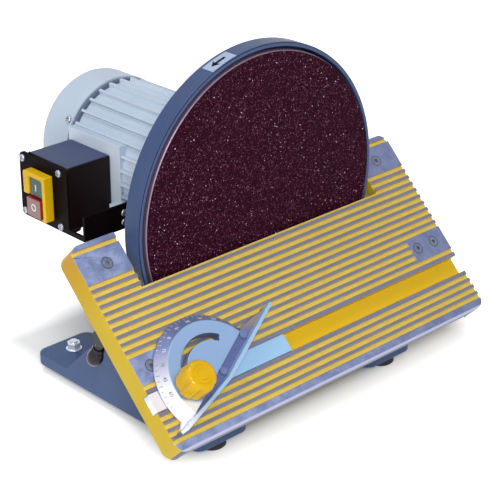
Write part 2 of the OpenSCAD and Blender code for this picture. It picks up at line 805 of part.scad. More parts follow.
module switch_panel() {
    leg_r = motor_r + chamfer;
    color(black) at_axis() difference() {
        union() {
            yz_plate(-panel_x - panel_t, panel_t) rrect(panel_y0, panel_y1, panel_z0, panel_z1, panel_r);
            block(-panel_x - panel_t, -panel_x, leg_y0, panel_y0 + panel_r, panel_z0, panel_z0 + strip_h);
            block(-panel_x - panel_t, -lug_in, leg_y0, leg_y0 + panel_t, panel_z0, panel_z0 + leg_h);
        }
        ycyl(leg_r, leg_y0 - cut, leg_y0 + panel_t + cut);
        at_panel_screws() xcyl(m4_r + fit, -panel_t - cut, cut);
        at_bracket_screws() ycyl(m4_r + fit, leg_y0 - cut, leg_y0 + panel_t + cut);
    }
}
module panel_screws() {
    color(steel) at_axis() at_panel_screws() {
        xcyl(m4_r, -panel_t - chamfer, panel_t - chamfer / 2);
        xcyl(m4_head_r, -panel_t - m4_head_h, -panel_t);
    }
}
module bracket_screws() {
    color(steel) at_axis() at_bracket_screws() {
        ycyl(m4_r, leg_y0 - chamfer, leg_y0 + panel_t + lug_y - 3 * chamfer);
        ycyl(m4_head_r, leg_y0 - m4_head_h, leg_y0);
    }
}
module switch_housing() {
    color(switch_yellow) at_axis() difference() {
        block(-housing_x0 - housing_x, -housing_x0, housing_y0, housing_y1, housing_z0, housing_z1);
        block(-housing_x0 - housing_x - cut, -housing_x0 + cut, window_y0, window_y1, window_z0, window_z1);
        block(-housing_x0 - housing_x - cut, -housing_x0 + cut, window_y1 - cut, housing_y1 + cut,
            housing_z0 - cut, housing_z0 + housing_cut);
    }
}
module switch_body() {
    color(dark_steel) at_axis() block(-panel_x, -panel_x + switch_body_x, housing_y0 + housing_wall,
        housing_y1 - housing_wall, housing_z0 + housing_wall, housing_z1 - housing_wall);
}
module start_button() {
    color([0.35, 0.50, 0.45]) at_axis() block(-housing_x0 - housing_x + start_sunk, -housing_x0 - button_back,
        window_y0 + button_gap, window_y1 - button_gap, split_z + button_gap, window_z1 - button_gap);
}
module stop_button() {
    color([0.75, 0.20, 0.20]) at_axis() block(-housing_x0 - housing_x - stop_proud, -housing_x0 - button_back,
        window_y0 + button_gap, window_y1 + stop_wide, window_z0 + button_gap, split_z - button_gap);
}
module cable_gland() {
    z0 = box_top - box_z;
    color(black) at_axis() translate([-pad_x - box_x / 2, box_y0 + box_y / 2, 0]) difference() {
        union() {
            zcyl(gland_r, z0 - gland_len, z0 + box_wall + gland_nut / 2);
            translate([0, 0, z0 - gland_nut]) cylinder(r = gland_nut_r, h = gland_nut, $fn = hex);
        }
        zcyl(gland_bore, z0 - gland_len - cut, z0 + box_wall + gland_nut);
    }
}

// table clamps
module at_stud(s) { at_floor() sided(s) translate([0, stud_y, stud_z]) children(); }
module clamp_bolt(s) {
    color(steel) at_stud(s) {
        translate([ear_in - m8_head_h, 0, 0]) rotate([0, 90, 0])
            cylinder(r = m8_head_af_r, h = m8_head_h, $fn = hex);
        xcyl(m8_r, ear_in - chamfer, trunnion_out + lever_hub_len - chamfer);
    }
}
module clamp_bolt_left() { clamp_bolt(-1); }
module clamp_bolt_right() { clamp_bolt(1); }
module clamp_spacer(s) {
    color(steel) at_stud(s) difference() {
        xcyl(ear_r, base_hw, base_hw + boss_len);
        xcyl(m8_r + fit, base_hw - cut, base_hw + boss_len + cut);
    }
}
module clamp_spacer_left() { clamp_spacer(-1); }
module clamp_spacer_right() { clamp_spacer(1); }

// curved slot about the tilt axis, in the plane of the side plates, from angle a0 to a1
function swing_pt(r, a) = [-r * sin(a), -r * cos(a)];
module arc_band(r, w, a0, a1) {
    far = 2 * r;
    intersection() {
        difference() {
            circle(r + w / 2);
            circle(r - w / 2);
        }
        polygon([[0, 0], swing_pt(far, a0), swing_pt(far, (a0 + a1) / 2), swing_pt(far, a1)]);
    }
}
module tilt_shoe(s) {
    at_floor() sided(s) difference() {
        translate([0, pivot_y, pivot_z]) yz_plate(base_hw + boss_len, trunnion_t - gap)
            arc_band(arc_r, arc_w - 2 * gap, -stud_ang - shoe_ang, -stud_ang + shoe_ang);
        translate([0, stud_y, stud_z]) xcyl(m8_r + fit, base_hw, trunnion_out + cut);
    }
}
module tilt_shoe_left() { color(steel) tilt_shoe(-1); }
module tilt_shoe_right() { color(steel) tilt_shoe(1); }
module clamp_lever(s) {
    color(black) at_stud(s) difference() {
        union() {
            xcyl(lever_hub_r, trunnion_out + gap, trunnion_out + gap + lever_hub_len);
            translate([lever_x, 0, 0]) rotate([lever_ang, 0, 0])
                zcyl(lever_arm_r, -lever_len + lever_bulb_len / 3, -m8_r);
        }
        xcyl(m8_r + run, trunnion_out - cut, trunnion_out + lever_hub_len);
    }
}
module clamp_lever_left() { clamp_lever(-1); }
module clamp_lever_right() { clamp_lever(1); }
// pear-shaped bulb, widest below its middle, with a bore for the arm's end
function bulb_r(t) = lever_bulb_r * sqrt(sin(180 * pow(t, 1.25)));
module lever_bulb(s) {
    top = -lever_len + lever_bulb_len / 2;
    low = top - lever_bulb_len;
    neck_share = 0.12;
    color(black) at_stud(s) translate([lever_x, 0, 0]) rotate([lever_ang, 0, 0])
        difference() {
            rotate_extrude() polygon([[0, low], for (i = [1 : bulb_steps - 2])
                [bulb_r(1 - i / bulb_steps), low + i * lever_bulb_len / bulb_steps],
                [lever_arm_r + 2 * chamfer, top - neck_share * lever_bulb_len],
                [lever_arm_r + chamfer, top], [0, top]]);
            zcyl(lever_arm_r + seat, -lever_len + lever_bulb_len / 3 - seat, top + cut);
        }
}
module lever_bulb_left() { lever_bulb(-1); }
module lever_bulb_right() { lever_bulb(1); }

// table
module table_plan() {
    difference() {
        rrect(-table_hw, table_hw, -table_front, wing_len, table_r);
        translate([-notch_hw, 0]) square([2 * notch_hw, wing_len + cut]);
    }
}
module groove(s, hw) {
    translate([-hw, -s - groove_w, -groove_depth]) cube([2 * hw, groove_w, groove_depth + cut]);
}
module table_casting() {
    hollow_hw = table_hw - skirt_t;
    rear_edge = 2 * skirt_t;
    color(table_yellow) at_table() difference() {
        translate([0, 0, -skirt_side]) linear_extrude(skirt_side) table_plan();
        // hollow under the plate, open to the notch
        difference() {
            union() {
                block(-hollow_hw, hollow_hw, -table_front + skirt_t, 0, -skirt_side - cut, -plate_t);
                for (s = [-1, 1]) sided(s) block(notch_hw - cut, hollow_hw, -cut, wing_len - skirt_t,
                    -skirt_side - cut, -plate_t);
            }
            // channel under the mitre slot and the stiffening ribs
            block(-table_hw, table_hw, -slot_mid - slot_w / 2 - slot_rib, -slot_mid + slot_w / 2 + slot_rib,
                -slot_depth - slot_floor, 0);
            for (p = rib_shares) block(-notch_hw, notch_hw, -p * table_front - rib_t / 2,
                -p * table_front + rib_t / 2, -plate_t - rib_depth, 0);
            for (p = cross_shares) block(p * table_hw - rib_t / 2, p * table_hw + rib_t / 2,
                -table_front, -rear_edge, -plate_t - rib_depth, 0);
        }
        // shallower front skirt
        block(-table_hw + table_r, table_hw - table_r, -table_front - cut, -table_front + skirt_t + cut,
            -skirt_side - cut, -skirt_front);
        // undercut that lets the edge stay close to the disc at full tilt
        yz_plate(-notch_hw - cut, 2 * (notch_hw + cut)) polygon([[0, 0], [cut, 0], [cut, -skirt_side - cut],
            [-skirt_side - cut, -skirt_side - cut]]);
        for (i = [0 : groove_last]) if (i < slot_first_n || i > slot_last_n)
            groove(groove_s0 + i * groove_pitch, i >= pad_first_n && i <= pad_last_n ? pad_in : table_hw + cut);
        groove(rear_groove_s, table_hw + cut);
        translate([-table_hw - cut, -slot_mid - slot_w / 2, -slot_depth])
            cube([2 * (table_hw + cut), slot_w, slot_depth + cut]);
        // bright bevel along the front edge
        yz_plate(-table_hw - cut, 2 * (table_hw + cut)) polygon([[-table_front - cut, -front_bevel - cut],
            [-table_front - cut, cut], [-table_front + front_bevel + cut, cut]]);
        at_trunnion_screws() {
            zcyl(m6_r + fit, -plate_t - cut, cut);
            translate([0, 0, -m6_head_r + m6_r])
                cylinder(r1 = m6_r + fit, r2 = m6_head_r + fit, h = m6_head_r - m6_r);
            zcyl(m6_head_r + fit, 0, cut);
        }
    }
}
module at_trunnion_screws() {
    for (s = [-1, 1]) sided(s) {
        translate([trunnion_mid, -flange_rear_s, 0]) children();
        for (d = [-screw_dx, screw_dx]) translate([trunnion_mid + d, -flange_front_s, 0]) children();
    }
}
module trunnion_outline() {
    rim_r = arc_r + arc_w / 2 + arc_rim;
    front = -flange_front_s - flange_len / 2;
    rear = -flange_rear_s + flange_len / 2;
    low = -rim_r;
    a0 = -stud_ang - shoe_ang - slot_spare_ang;
    a1 = tilt - stud_ang + shoe_ang + slot_spare_ang;
    difference() {
        union() {
            translate([front, -plate_t - flange_t]) square([rear - front, flange_t]);
            intersection() {
                circle(rim_r);
                polygon([[rear, -plate_t], [front, -plate_t], [front, -plate_t - flange_t],
                    [front / 2, low], [rear, low]]);
            }
        }
        arc_band(arc_r, arc_w, a0, a1);
    }
}
module trunnion(s) {
    color(table_yellow) at_table() sided(s) difference() {
        union() {
            yz_plate(trunnion_in, trunnion_t) trunnion_outline();
            block(trunnion_mid - flange_hw, trunnion_mid + flange_hw, -flange_front_s - flange_len / 2,
                -flange_front_s + flange_len / 2, -plate_t - flange_t, -plate_t);
            block(trunnion_mid - rear_flange_hw, trunnion_mid + rear_flange_hw, -flange_rear_s - flange_len / 2,
                -flange_rear_s + flange_len / 2, -plate_t - flange_t, -plate_t);
        }
        at_trunnion_screws() zcyl(m6_r + fit, -plate_t - flange_t - cut, cut);
    }
}
module trunnion_left() { trunnion(-1); }
module trunnion_right() { trunnion(1); }
module trunnion_screws() {
    color(steel) at_table() at_trunnion_screws() difference() {
        union() {
            zcyl(m6_r, -plate_t - flange_t, -chamfer);
            translate([0, 0, -m6_head_r + m6_r]) cylinder(r1 = m6_r, r2 = m6_head_r, h = m6_head_r - m6_r);
        }
        translate([0, 0, -2 * chamfer]) cylinder(r = m6_socket_r, h = 2 * chamfer + cut, $fn = hex);
    }
}

// mitre gauge
module mitre_bar() {
    low = bar_top - bar_t;
    color(silver_blue) at_table() difference() {
        block(bar_x0, bar_x0 + bar_len, -slot_mid - bar_w / 2, -slot_mid + bar_w / 2, low, bar_top);
        translate([gauge_x, -slot_mid, 0]) {
            zcyl(m6_r + fit, low - cut, bar_top + cut);
            zcyl(m6_head_r + fit, low - cut, low + m4_head_h + fit);
        }
        translate([gauge_x - swing_r, -slot_mid, 0]) zcyl(m6_r + fit, low - cut, bar_top + cut);
    }
}
module mitre_pointer() {
    color("white") at_table() block(bar_x0, bar_x0 + pointer_len, -slot_mid - bar_w / 2,
        -slot_mid + bar_w / 2, bar_top, bar_top + pointer_t);
}
// straight half and swept half of the fence between two heights
module fence_wall(z0, z1) {
    block(sill_w, sill_w + fence_t, 0, fence_far, z0, z1);
    translate([sill_w + fence_t, 0, 0]) rotate(-sweep_ang) block(-fence_t, 0, -fence_near, 0, z0, z1);
}
module sill_plan() {
    polygon([[-sill_back, -sqrt(pow(head_r - sill_inset, 2) - pow(sill_back, 2))],
        near_end + fence_t * [sin(sweep_ang) - cos(sweep_ang), cos(sweep_ang) + sin(sweep_ang)],
        fence_bend, [sill_w, fence_far - fence_t], [-sill_inset, head_r - sill_inset]]);
}
module mitre_head() {
    top = head_lift + head_h;
    edge = head_r + cut;
    color(silver_blue) at_gauge() difference() {
        union() {
            intersection() {
                rotate_extrude() polygon([[0, head_lift], [head_r, head_lift], [head_r, head_lift + head_rim_h],
                    [head_top_r, top], [0, top]]);
                translate([0, 0, head_lift]) linear_extrude(head_h) polygon([[-edge, -edge],
                    [(-edge - near_cross) * tan(sweep_ang), -edge], [0, near_cross], [0, edge], [-edge, edge]]);
            }
            translate([0, 0, head_lift]) linear_extrude(sill_h) sill_plan();
        }
        translate([0, 0, head_lift - cut]) linear_extrude(head_h + 2 * cut)
            rotate(90) arc_band(swing_r, swing_w, 180 - swing_ang - swing_spare_ang,
                180 + swing_ang + swing_spare_ang);
        zcyl(m6_r + run, head_lift - cut, head_lift + sill_h - pivot_cover);
        at_fence_screws() zcyl(m4_r + fit, head_lift + chamfer, head_lift + sill_h + cut);
    }
}
module at_fence_screws() {
    for (u = [fence_screw_far, fence_screw_near]) translate([sill_w / 2, u, 0]) children();
}
// upright wall with a foot on the head's sill
module mitre_fence() {
    foot_z = head_lift + sill_h;
    color(silver_blue) at_gauge() difference() {
        union() {
            fence_wall(head_lift, head_lift + fence_h);
            translate([0, 0, foot_z]) linear_extrude(fence_foot_t) polygon([
                [0, near_cross], fence_bend, [sill_w + chamfer, fence_bend[1]],
                [sill_w + chamfer, fence_far - fence_t], [sill_w, fence_far - fence_t],
                [0, head_r - sill_inset]]);
        }
        at_fence_screws() zcyl(m4_r + fit, foot_z - cut, foot_z + fence_foot_t + cut);
    }
}
module fence_screws() {
    foot_z = head_lift + sill_h + fence_foot_t;
    color(steel) at_gauge() at_fence_screws() {
        zcyl(m4_r, head_lift + 2 * chamfer, foot_z);
        zcyl(m4_head_r, foot_z, foot_z + fence_screw_head);
    }
}
// shoulder screw from below, hidden in the head's blind bore
module mitre_pivot() {
    low = bar_top - bar_t;
    color(steel) at_table() translate([gauge_x, -slot_mid, 0]) {
        zcyl(m6_head_r, low, low + m4_head_h);
        zcyl(m6_r, low, head_lift + sill_h - pivot_cover - gap);
    }
}
module at_knob() { at_table() translate([gauge_x - swing_r, -slot_mid, head_lift + head_h]) children(); }
module mitre_knob() {
    z0 = gap;
    z1 = z0 + knob_washer_h;
    top = z1 + knob_h;
    r = knob_d / 2;
    color(switch_yellow) at_knob() difference() {
        union() {
            zcyl(r - 3 * chamfer, z0, z1 + chamfer);
            rotate_extrude() polygon([[0, z1], [r - 2 * chamfer, z1], [r, z1 + 2 * chamfer],
                [r, top - knob_crown], [r - knob_crown, top], [0, top]]);
        }
        for (i = [0 : knob_flutes - 1]) rotate(i * 360 / knob_flutes) translate([r + flute_out, 0, 0])
            zcyl(flute_r, z0 - cut, top + cut);
        zcyl(m6_r + seat, z0 - cut, z1 + knob_h / 2);
    }
}
module knob_stud() {
    low = bar_top - bar_t - head_lift - head_h;
    color(steel) at_knob() zcyl(m6_r, low + chamfer, knob_washer_h + knob_h / 2);
}

base_frame();
rubber_feet();
foot_bolts();
foot_nuts();
disc_guard();
motor_bolts();
front_end_shield();
motor_frame();
rear_end_shield();
stator_core();
stator_windings();
front_bearing();
rear_bearing();
fan_cowl();
cowl_screws();
switch_box();
switch_panel();
panel_screws();
bracket_screws();
switch_housing();
switch_body();
cable_gland();
start_button();
stop_button();
clamp_bolt_left();
clamp_bolt_right();
clamp_spacer_left();
clamp_spacer_right();
tilt_shoe_left();
tilt_shoe_right();
clamp_lever_left();
clamp_lever_right();
lever_bulb_left();
lever_bulb_right();
rotor_shaft();
rotor_core();
cooling_fan();
disc_plate();
shaft_key();
hub_screws();
abrasive_disc();
table_casting();
trunnion_left();
trunnion_right();
trunnion_screws();
mitre_bar();
mitre_pointer();
mitre_head();
mitre_fence();
fence_screws();
mitre_pivot();
mitre_knob();
knob_stud();
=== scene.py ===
import json
import math
import bmesh
import bpy
from mathutils import Matrix, Vector


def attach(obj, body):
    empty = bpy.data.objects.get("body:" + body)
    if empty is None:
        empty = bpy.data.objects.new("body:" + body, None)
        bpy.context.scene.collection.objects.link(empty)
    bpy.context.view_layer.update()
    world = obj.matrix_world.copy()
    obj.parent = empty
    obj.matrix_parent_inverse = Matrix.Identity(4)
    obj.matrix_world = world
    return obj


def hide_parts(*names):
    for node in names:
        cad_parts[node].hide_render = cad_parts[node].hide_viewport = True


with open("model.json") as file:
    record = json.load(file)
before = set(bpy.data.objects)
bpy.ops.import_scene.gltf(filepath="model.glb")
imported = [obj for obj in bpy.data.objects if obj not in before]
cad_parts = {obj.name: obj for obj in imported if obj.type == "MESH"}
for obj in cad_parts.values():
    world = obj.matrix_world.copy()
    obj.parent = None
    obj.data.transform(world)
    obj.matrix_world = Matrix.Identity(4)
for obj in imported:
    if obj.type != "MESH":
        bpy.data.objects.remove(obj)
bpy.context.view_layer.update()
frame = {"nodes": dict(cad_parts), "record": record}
mm = 0.001
print("frame loaded:", len(frame["nodes"]), "nodes")

# places shared with the solids, in metres and degrees
place = {"faceY": -76.8376 * mm, "axisZ": 208 * mm, "notchGap": 4 * mm, "notchDrop": 36.5 * mm, "tilt": 45,
         "gaugeX": -144.959 * mm, "slotS": 108.35 * mm, "swivel": 60, "swingR": 36 * mm, "headTop": 12.6 * mm}
pivotPoint = Vector((0, place["faceY"] - place["notchGap"], place["axisZ"] - place["notchDrop"]))
tableMatrix = Matrix.Translation(pivotPoint) @ Matrix.Rotation(math.radians(place["tilt"]), 4, "X")
tableNormal = tableMatrix.to_3x3() @ Vector((0, 0, 1))
barMatrix = tableMatrix @ Matrix.Translation((place["gaugeX"], -place["slotS"], 0))
headMatrix = barMatrix @ Matrix.Rotation(-math.radians(place["swivel"]), 4, "Z")
knobMatrix = barMatrix @ Matrix.Translation((-place["swingR"], 0, place["headTop"]))
axisMatrix = Matrix.Translation((0, place["faceY"], place["axisZ"]))


def rgb(r, g, b):
    # display colour 0..255 to scene linear
    def lin(c):
        c = c / 255
        return c / 12.92 if c <= 0.04045 else ((c + 0.055) / 1.055) ** 2.4
    return (lin(r), lin(g), lin(b), 1)


def rimPoint(radius, angle, back):
    a = math.radians(angle)
    return axisMatrix @ Vector((radius * math.cos(a), back, radius * math.sin(a)))


def addObject(name, data):
    obj = bpy.data.objects.new(name, data)
    bpy.context.collection.objects.link(obj)
    return obj


def plainMesh(obj):
    # the object's mesh with its modifiers applied
    return bpy.data.meshes.new_from_object(obj.evaluated_get(bpy.context.evaluated_depsgraph_get()))


# camera at the photograph's angle, placed in millimetres from the disc's centre
cameraSet = {"at": (-1035.1, -1066.5, 634.3), "right": (0.724, -0.690, 0.0), "backward": (-0.6256, -0.6569, 0.4210),
             "lens": 116.3, "sensor": 36}
camData = bpy.data.cameras.new("photoCamera")
camData.lens = cameraSet["lens"]
camData.sensor_width = cameraSet["sensor"]
camera = addObject("photoCamera", camData)
right = Vector(cameraSet["right"]).normalized()
backward = Vector(cameraSet["backward"]).normalized()
up = backward.cross(right).normalized()
turn = Matrix((right, up, backward)).transposed().to_4x4()
camera.matrix_world = Matrix.Translation(axisMatrix @ (Vector(cameraSet["at"]) * mm)) @ turn
bpy.context.scene.camera = camera
print("camera set")


# shader helpers
class Graph:
    def __init__(self, tree):
        self.tree = tree

    def node(self, kind, **settings):
        made = self.tree.nodes.new(kind)
        for key, value in settings.items():
            setattr(made, key, value)
        return made

    def link(self, a, b):
        self.tree.links.new(a, b)

    def feed(self, socket, v):
        # sets a plain value, links a socket
        if isinstance(v, (int, float, str, tuple)):
            socket.default_value = v
        else:
            self.link(v, socket)

    def fill(self, made, **inputs):
        # feeds inputs by name, with _ for each space
        for key, v in inputs.items():
            self.feed(made.inputs[key.replace("_", " ")], v)

    def math(self, operation, a, b=None, clamp=False):
        made = self.node("ShaderNodeMath", operation=operation, use_clamp=clamp)
        for i, v in enumerate((a, b)):
            if v is not None:
                self.feed(made.inputs[i], v)
        return made.outputs[0]

    def ramp(self, value, low, high, toLow=0.0, toHigh=1.0):
        made = self.node("ShaderNodeMapRange", clamp=True)
        self.fill(made, Value=value, From_Min=low, From_Max=high, To_Min=toLow, To_Max=toHigh)
        return made.outputs["Result"]

    def mix(self, factor, a, b):
        made = self.node("ShaderNodeMix", data_type="RGBA")
        for i, v in ((0, factor), (6, a), (7, b)):
            self.feed(made.inputs[i], v)
        return made.outputs[2]

    def noise(self, vector, scale, detail=3.0, rough=0.55):
        made = self.node("ShaderNodeTexNoise")
        self.fill(made, Vector=vector, Scale=scale, Detail=detail, Roughness=rough)
        return made.outputs["Fac"]


def newTree(name, treeKind, inputs, outputs):
    # inputs are (label, kind, value) rows, outputs are (label, kind) rows
    tree = bpy.data.node_groups.new(name, treeKind)
    for label, kind, value in inputs:
        socket = tree.interface.new_socket(label, in_out="INPUT", socket_type=kind)
        if value is not None:
            socket.default_value = value
    for label, kind in outputs:
        tree.interface.new_socket(label, in_out="OUTPUT", socket_type=kind)
    g = Graph(tree)
    return tree, g, g.node("NodeGroupInput"), g.node("NodeGroupOutput")


patinaSet = {"cloudDetail": 5, "grainDetail": 2, "rough": 0.5, "cloud": (0.35, 0.68), "grain": (0.3, 0.7)}
wearSet = {"samples": 4, "edge": (0.97, 0.80), "noise": (160, 4, 0.7), "broken": (0.48, 0.62)}


def buildPatina():
    # cloudy tone, fine speckle and a height for cast or sprayed skins
    tree, g, gin, gout = newTree(
        "patina", "ShaderNodeTree",
        [("Vector", "NodeSocketVector", None), ("Cloud Scale", "NodeSocketFloat", 14.0),
         ("Grain Scale", "NodeSocketFloat", 900.0)],
        [("Cloud", "NodeSocketFloat"), ("Grain", "NodeSocketFloat"), ("Height", "NodeSocketFloat")])
    cloud = g.noise(gin.outputs["Vector"], gin.outputs["Cloud Scale"], patinaSet["cloudDetail"], patinaSet["rough"])
    grain = g.noise(gin.outputs["Vector"], gin.outputs["Grain Scale"], patinaSet["grainDetail"], patinaSet["rough"])
    g.fill(gout, Cloud=g.ramp(cloud, *patinaSet["cloud"]), Grain=g.ramp(grain, *patinaSet["grain"]), Height=grain)
    return tree


def buildEdgeWear():
    # thin broken line of wear along edges
    tree, g, gin, gout = newTree(
        "edgeWear", "ShaderNodeTree",
        [("Vector", "NodeSocketVector", None), ("Radius", "NodeSocketFloat", 1.2 * mm),
         ("Amount", "NodeSocketFloat", 0.5)],
        [("Mask", "NodeSocketFloat")])
    bevel = g.node("ShaderNodeBevel", samples=wearSet["samples"])
    g.link(gin.outputs["Radius"], bevel.inputs["Radius"])
    geometry = g.node("ShaderNodeNewGeometry")
    dot = g.node("ShaderNodeVectorMath", operation="DOT_PRODUCT")
    g.link(bevel.outputs["Normal"], dot.inputs[0])
    g.link(geometry.outputs["Normal"], dot.inputs[1])
    edge = g.ramp(dot.outputs["Value"], *wearSet["edge"])
    broken = g.ramp(g.noise(gin.outputs["Vector"], *wearSet["noise"]), *wearSet["broken"])
    mask = g.math("MULTIPLY", g.math("MULTIPLY", edge, broken), gin.outputs["Amount"], clamp=True)
    g.fill(gout, Mask=mask)
    return tree


patina = buildPatina()
edgeWear = buildEdgeWear()


def newMaterial(name):
    mat = bpy.data.materials.new(name)
    mat.use_nodes = True
    mat.node_tree.nodes.clear()
    g = Graph(mat.node_tree)
    out = g.node("ShaderNodeOutputMaterial")
    bsdf = g.node("ShaderNodeBsdfPrincipled")
    g.link(bsdf.outputs[0], out.inputs[0])
    coords = g.node("ShaderNodeTexCoord").outputs["Object"]
    return mat, g, bsdf, coords


def useGroup(g, tree, **values):
    made = g.node("ShaderNodeGroup", node_tree=tree)
    g.fill(made, **values)
    return made


def addBump(g, bsdf, height, strength, distance):
    bump = g.node("ShaderNodeBump")
    g.fill(bump, Strength=strength, Distance=distance, Height=height)
    g.fill(bsdf, Normal=bump.outputs[0])


def facing(g, direction, low=0.86, high=0.96):
    # one where the surface looks along a direction of the object
    dot = g.node("ShaderNodeVectorMath", operation="DOT_PRODUCT")
    g.link(g.node("ShaderNodeTexCoord").outputs["Normal"], dot.inputs[0])
    dot.inputs[1].default_value = direction
    return g.ramp(dot.outputs["Value"], low, high)


coatSet = {"grainShare": 0.25, "dustAndSheen": (0.75, 1.0), "coatRough": 0.15, "height": 0.4 * mm}
metalSet = {"noise": (1.0, 4, 0.6), "cloud": 18.0, "grain": 500.0, "lines": (0.35, 0.7), "cloudShare": 0.35,
            "roughLines": (0.3, 0.7), "height": 0.3 * mm}


def coated(name, colour, shade, rough=(0.3, 0.45), cloud=12.0, grain=900.0, bump=0.12, worn=None, wear=0.0,
           metal=0.0, coat=0.0, gloss=0.5, dustAndSheen=None, face=None):
    # sprayed, moulded or cast skin with a cloudy tone and worn edges
    mat, g, bsdf, coords = newMaterial(name)
    skin = useGroup(g, patina, Vector=coords, Cloud_Scale=cloud, Grain_Scale=grain)
    tone = g.mix(skin.outputs["Cloud"], colour, shade)
    tone = g.mix(g.math("MULTIPLY", skin.outputs["Grain"], coatSet["grainShare"]), tone, shade)
    # a dusting and a painted sheen: bluish grey laid on the faces that look up
    if dustAndSheen:
        layer = g.math("MULTIPLY", facing(g, (0, 0, 1)), g.ramp(skin.outputs["Grain"], 0, 1, *coatSet["dustAndSheen"]))
        tone = g.mix(layer, tone, dustAndSheen)
    # painted light: faces that look along the given direction get their own lighter tone
    if face:
        tone = g.mix(facing(g, face[0]), tone, face[1])
    if worn and wear > 0:
        edge = useGroup(g, edgeWear, Vector=coords, Amount=wear)
        tone = g.mix(edge.outputs["Mask"], tone, worn)
    g.fill(bsdf, Base_Color=tone, Roughness=g.ramp(skin.outputs["Cloud"], 0, 1, *rough), Metallic=metal,
           Coat_Weight=coat, Coat_Roughness=coatSet["coatRough"], Specular_IOR_Level=gloss)
    addBump(g, bsdf, skin.outputs["Height"], bump, coatSet["height"])
    return mat


def machined(name, colour, shade, rough=(0.28, 0.42), stretch=(40, 900, 900), metal=0.9, bump=0.06):
    # turned or ground metal with fine directional lines
    mat, g, bsdf, coords = newMaterial(name)
    mapping = g.node("ShaderNodeMapping")
    g.fill(mapping, Vector=coords, Scale=stretch)
    lines = g.noise(mapping.outputs[0], *metalSet["noise"])
    skin = useGroup(g, patina, Vector=coords, Cloud_Scale=metalSet["cloud"], Grain_Scale=metalSet["grain"])
    tone = g.mix(g.ramp(lines, *metalSet["lines"]), colour, shade)
    tone = g.mix(g.math("MULTIPLY", skin.outputs["Cloud"], metalSet["cloudShare"]), tone, shade)
    g.fill(bsdf, Base_Color=tone, Roughness=g.ramp(lines, *metalSet["roughLines"], *rough), Metallic=metal)
    addBump(g, bsdf, lines, bump, metalSet["height"])
    return mat


def tableFrame(g, coords, origin):
    # coordinates along the tilted table: X to the right, Y up the slope, Z off its face
    mapping = g.node("ShaderNodeMapping", vector_type="TEXTURE")
    g.fill(mapping, Vector=coords, Location=tuple(origin), Rotation=(math.radians(place["tilt"]), 0, 0))
    parts = g.node("ShaderNodeSeparateXYZ")
    g.link(mapping.outputs[0], parts.inputs[0])
    return mapping.outputs[0], parts


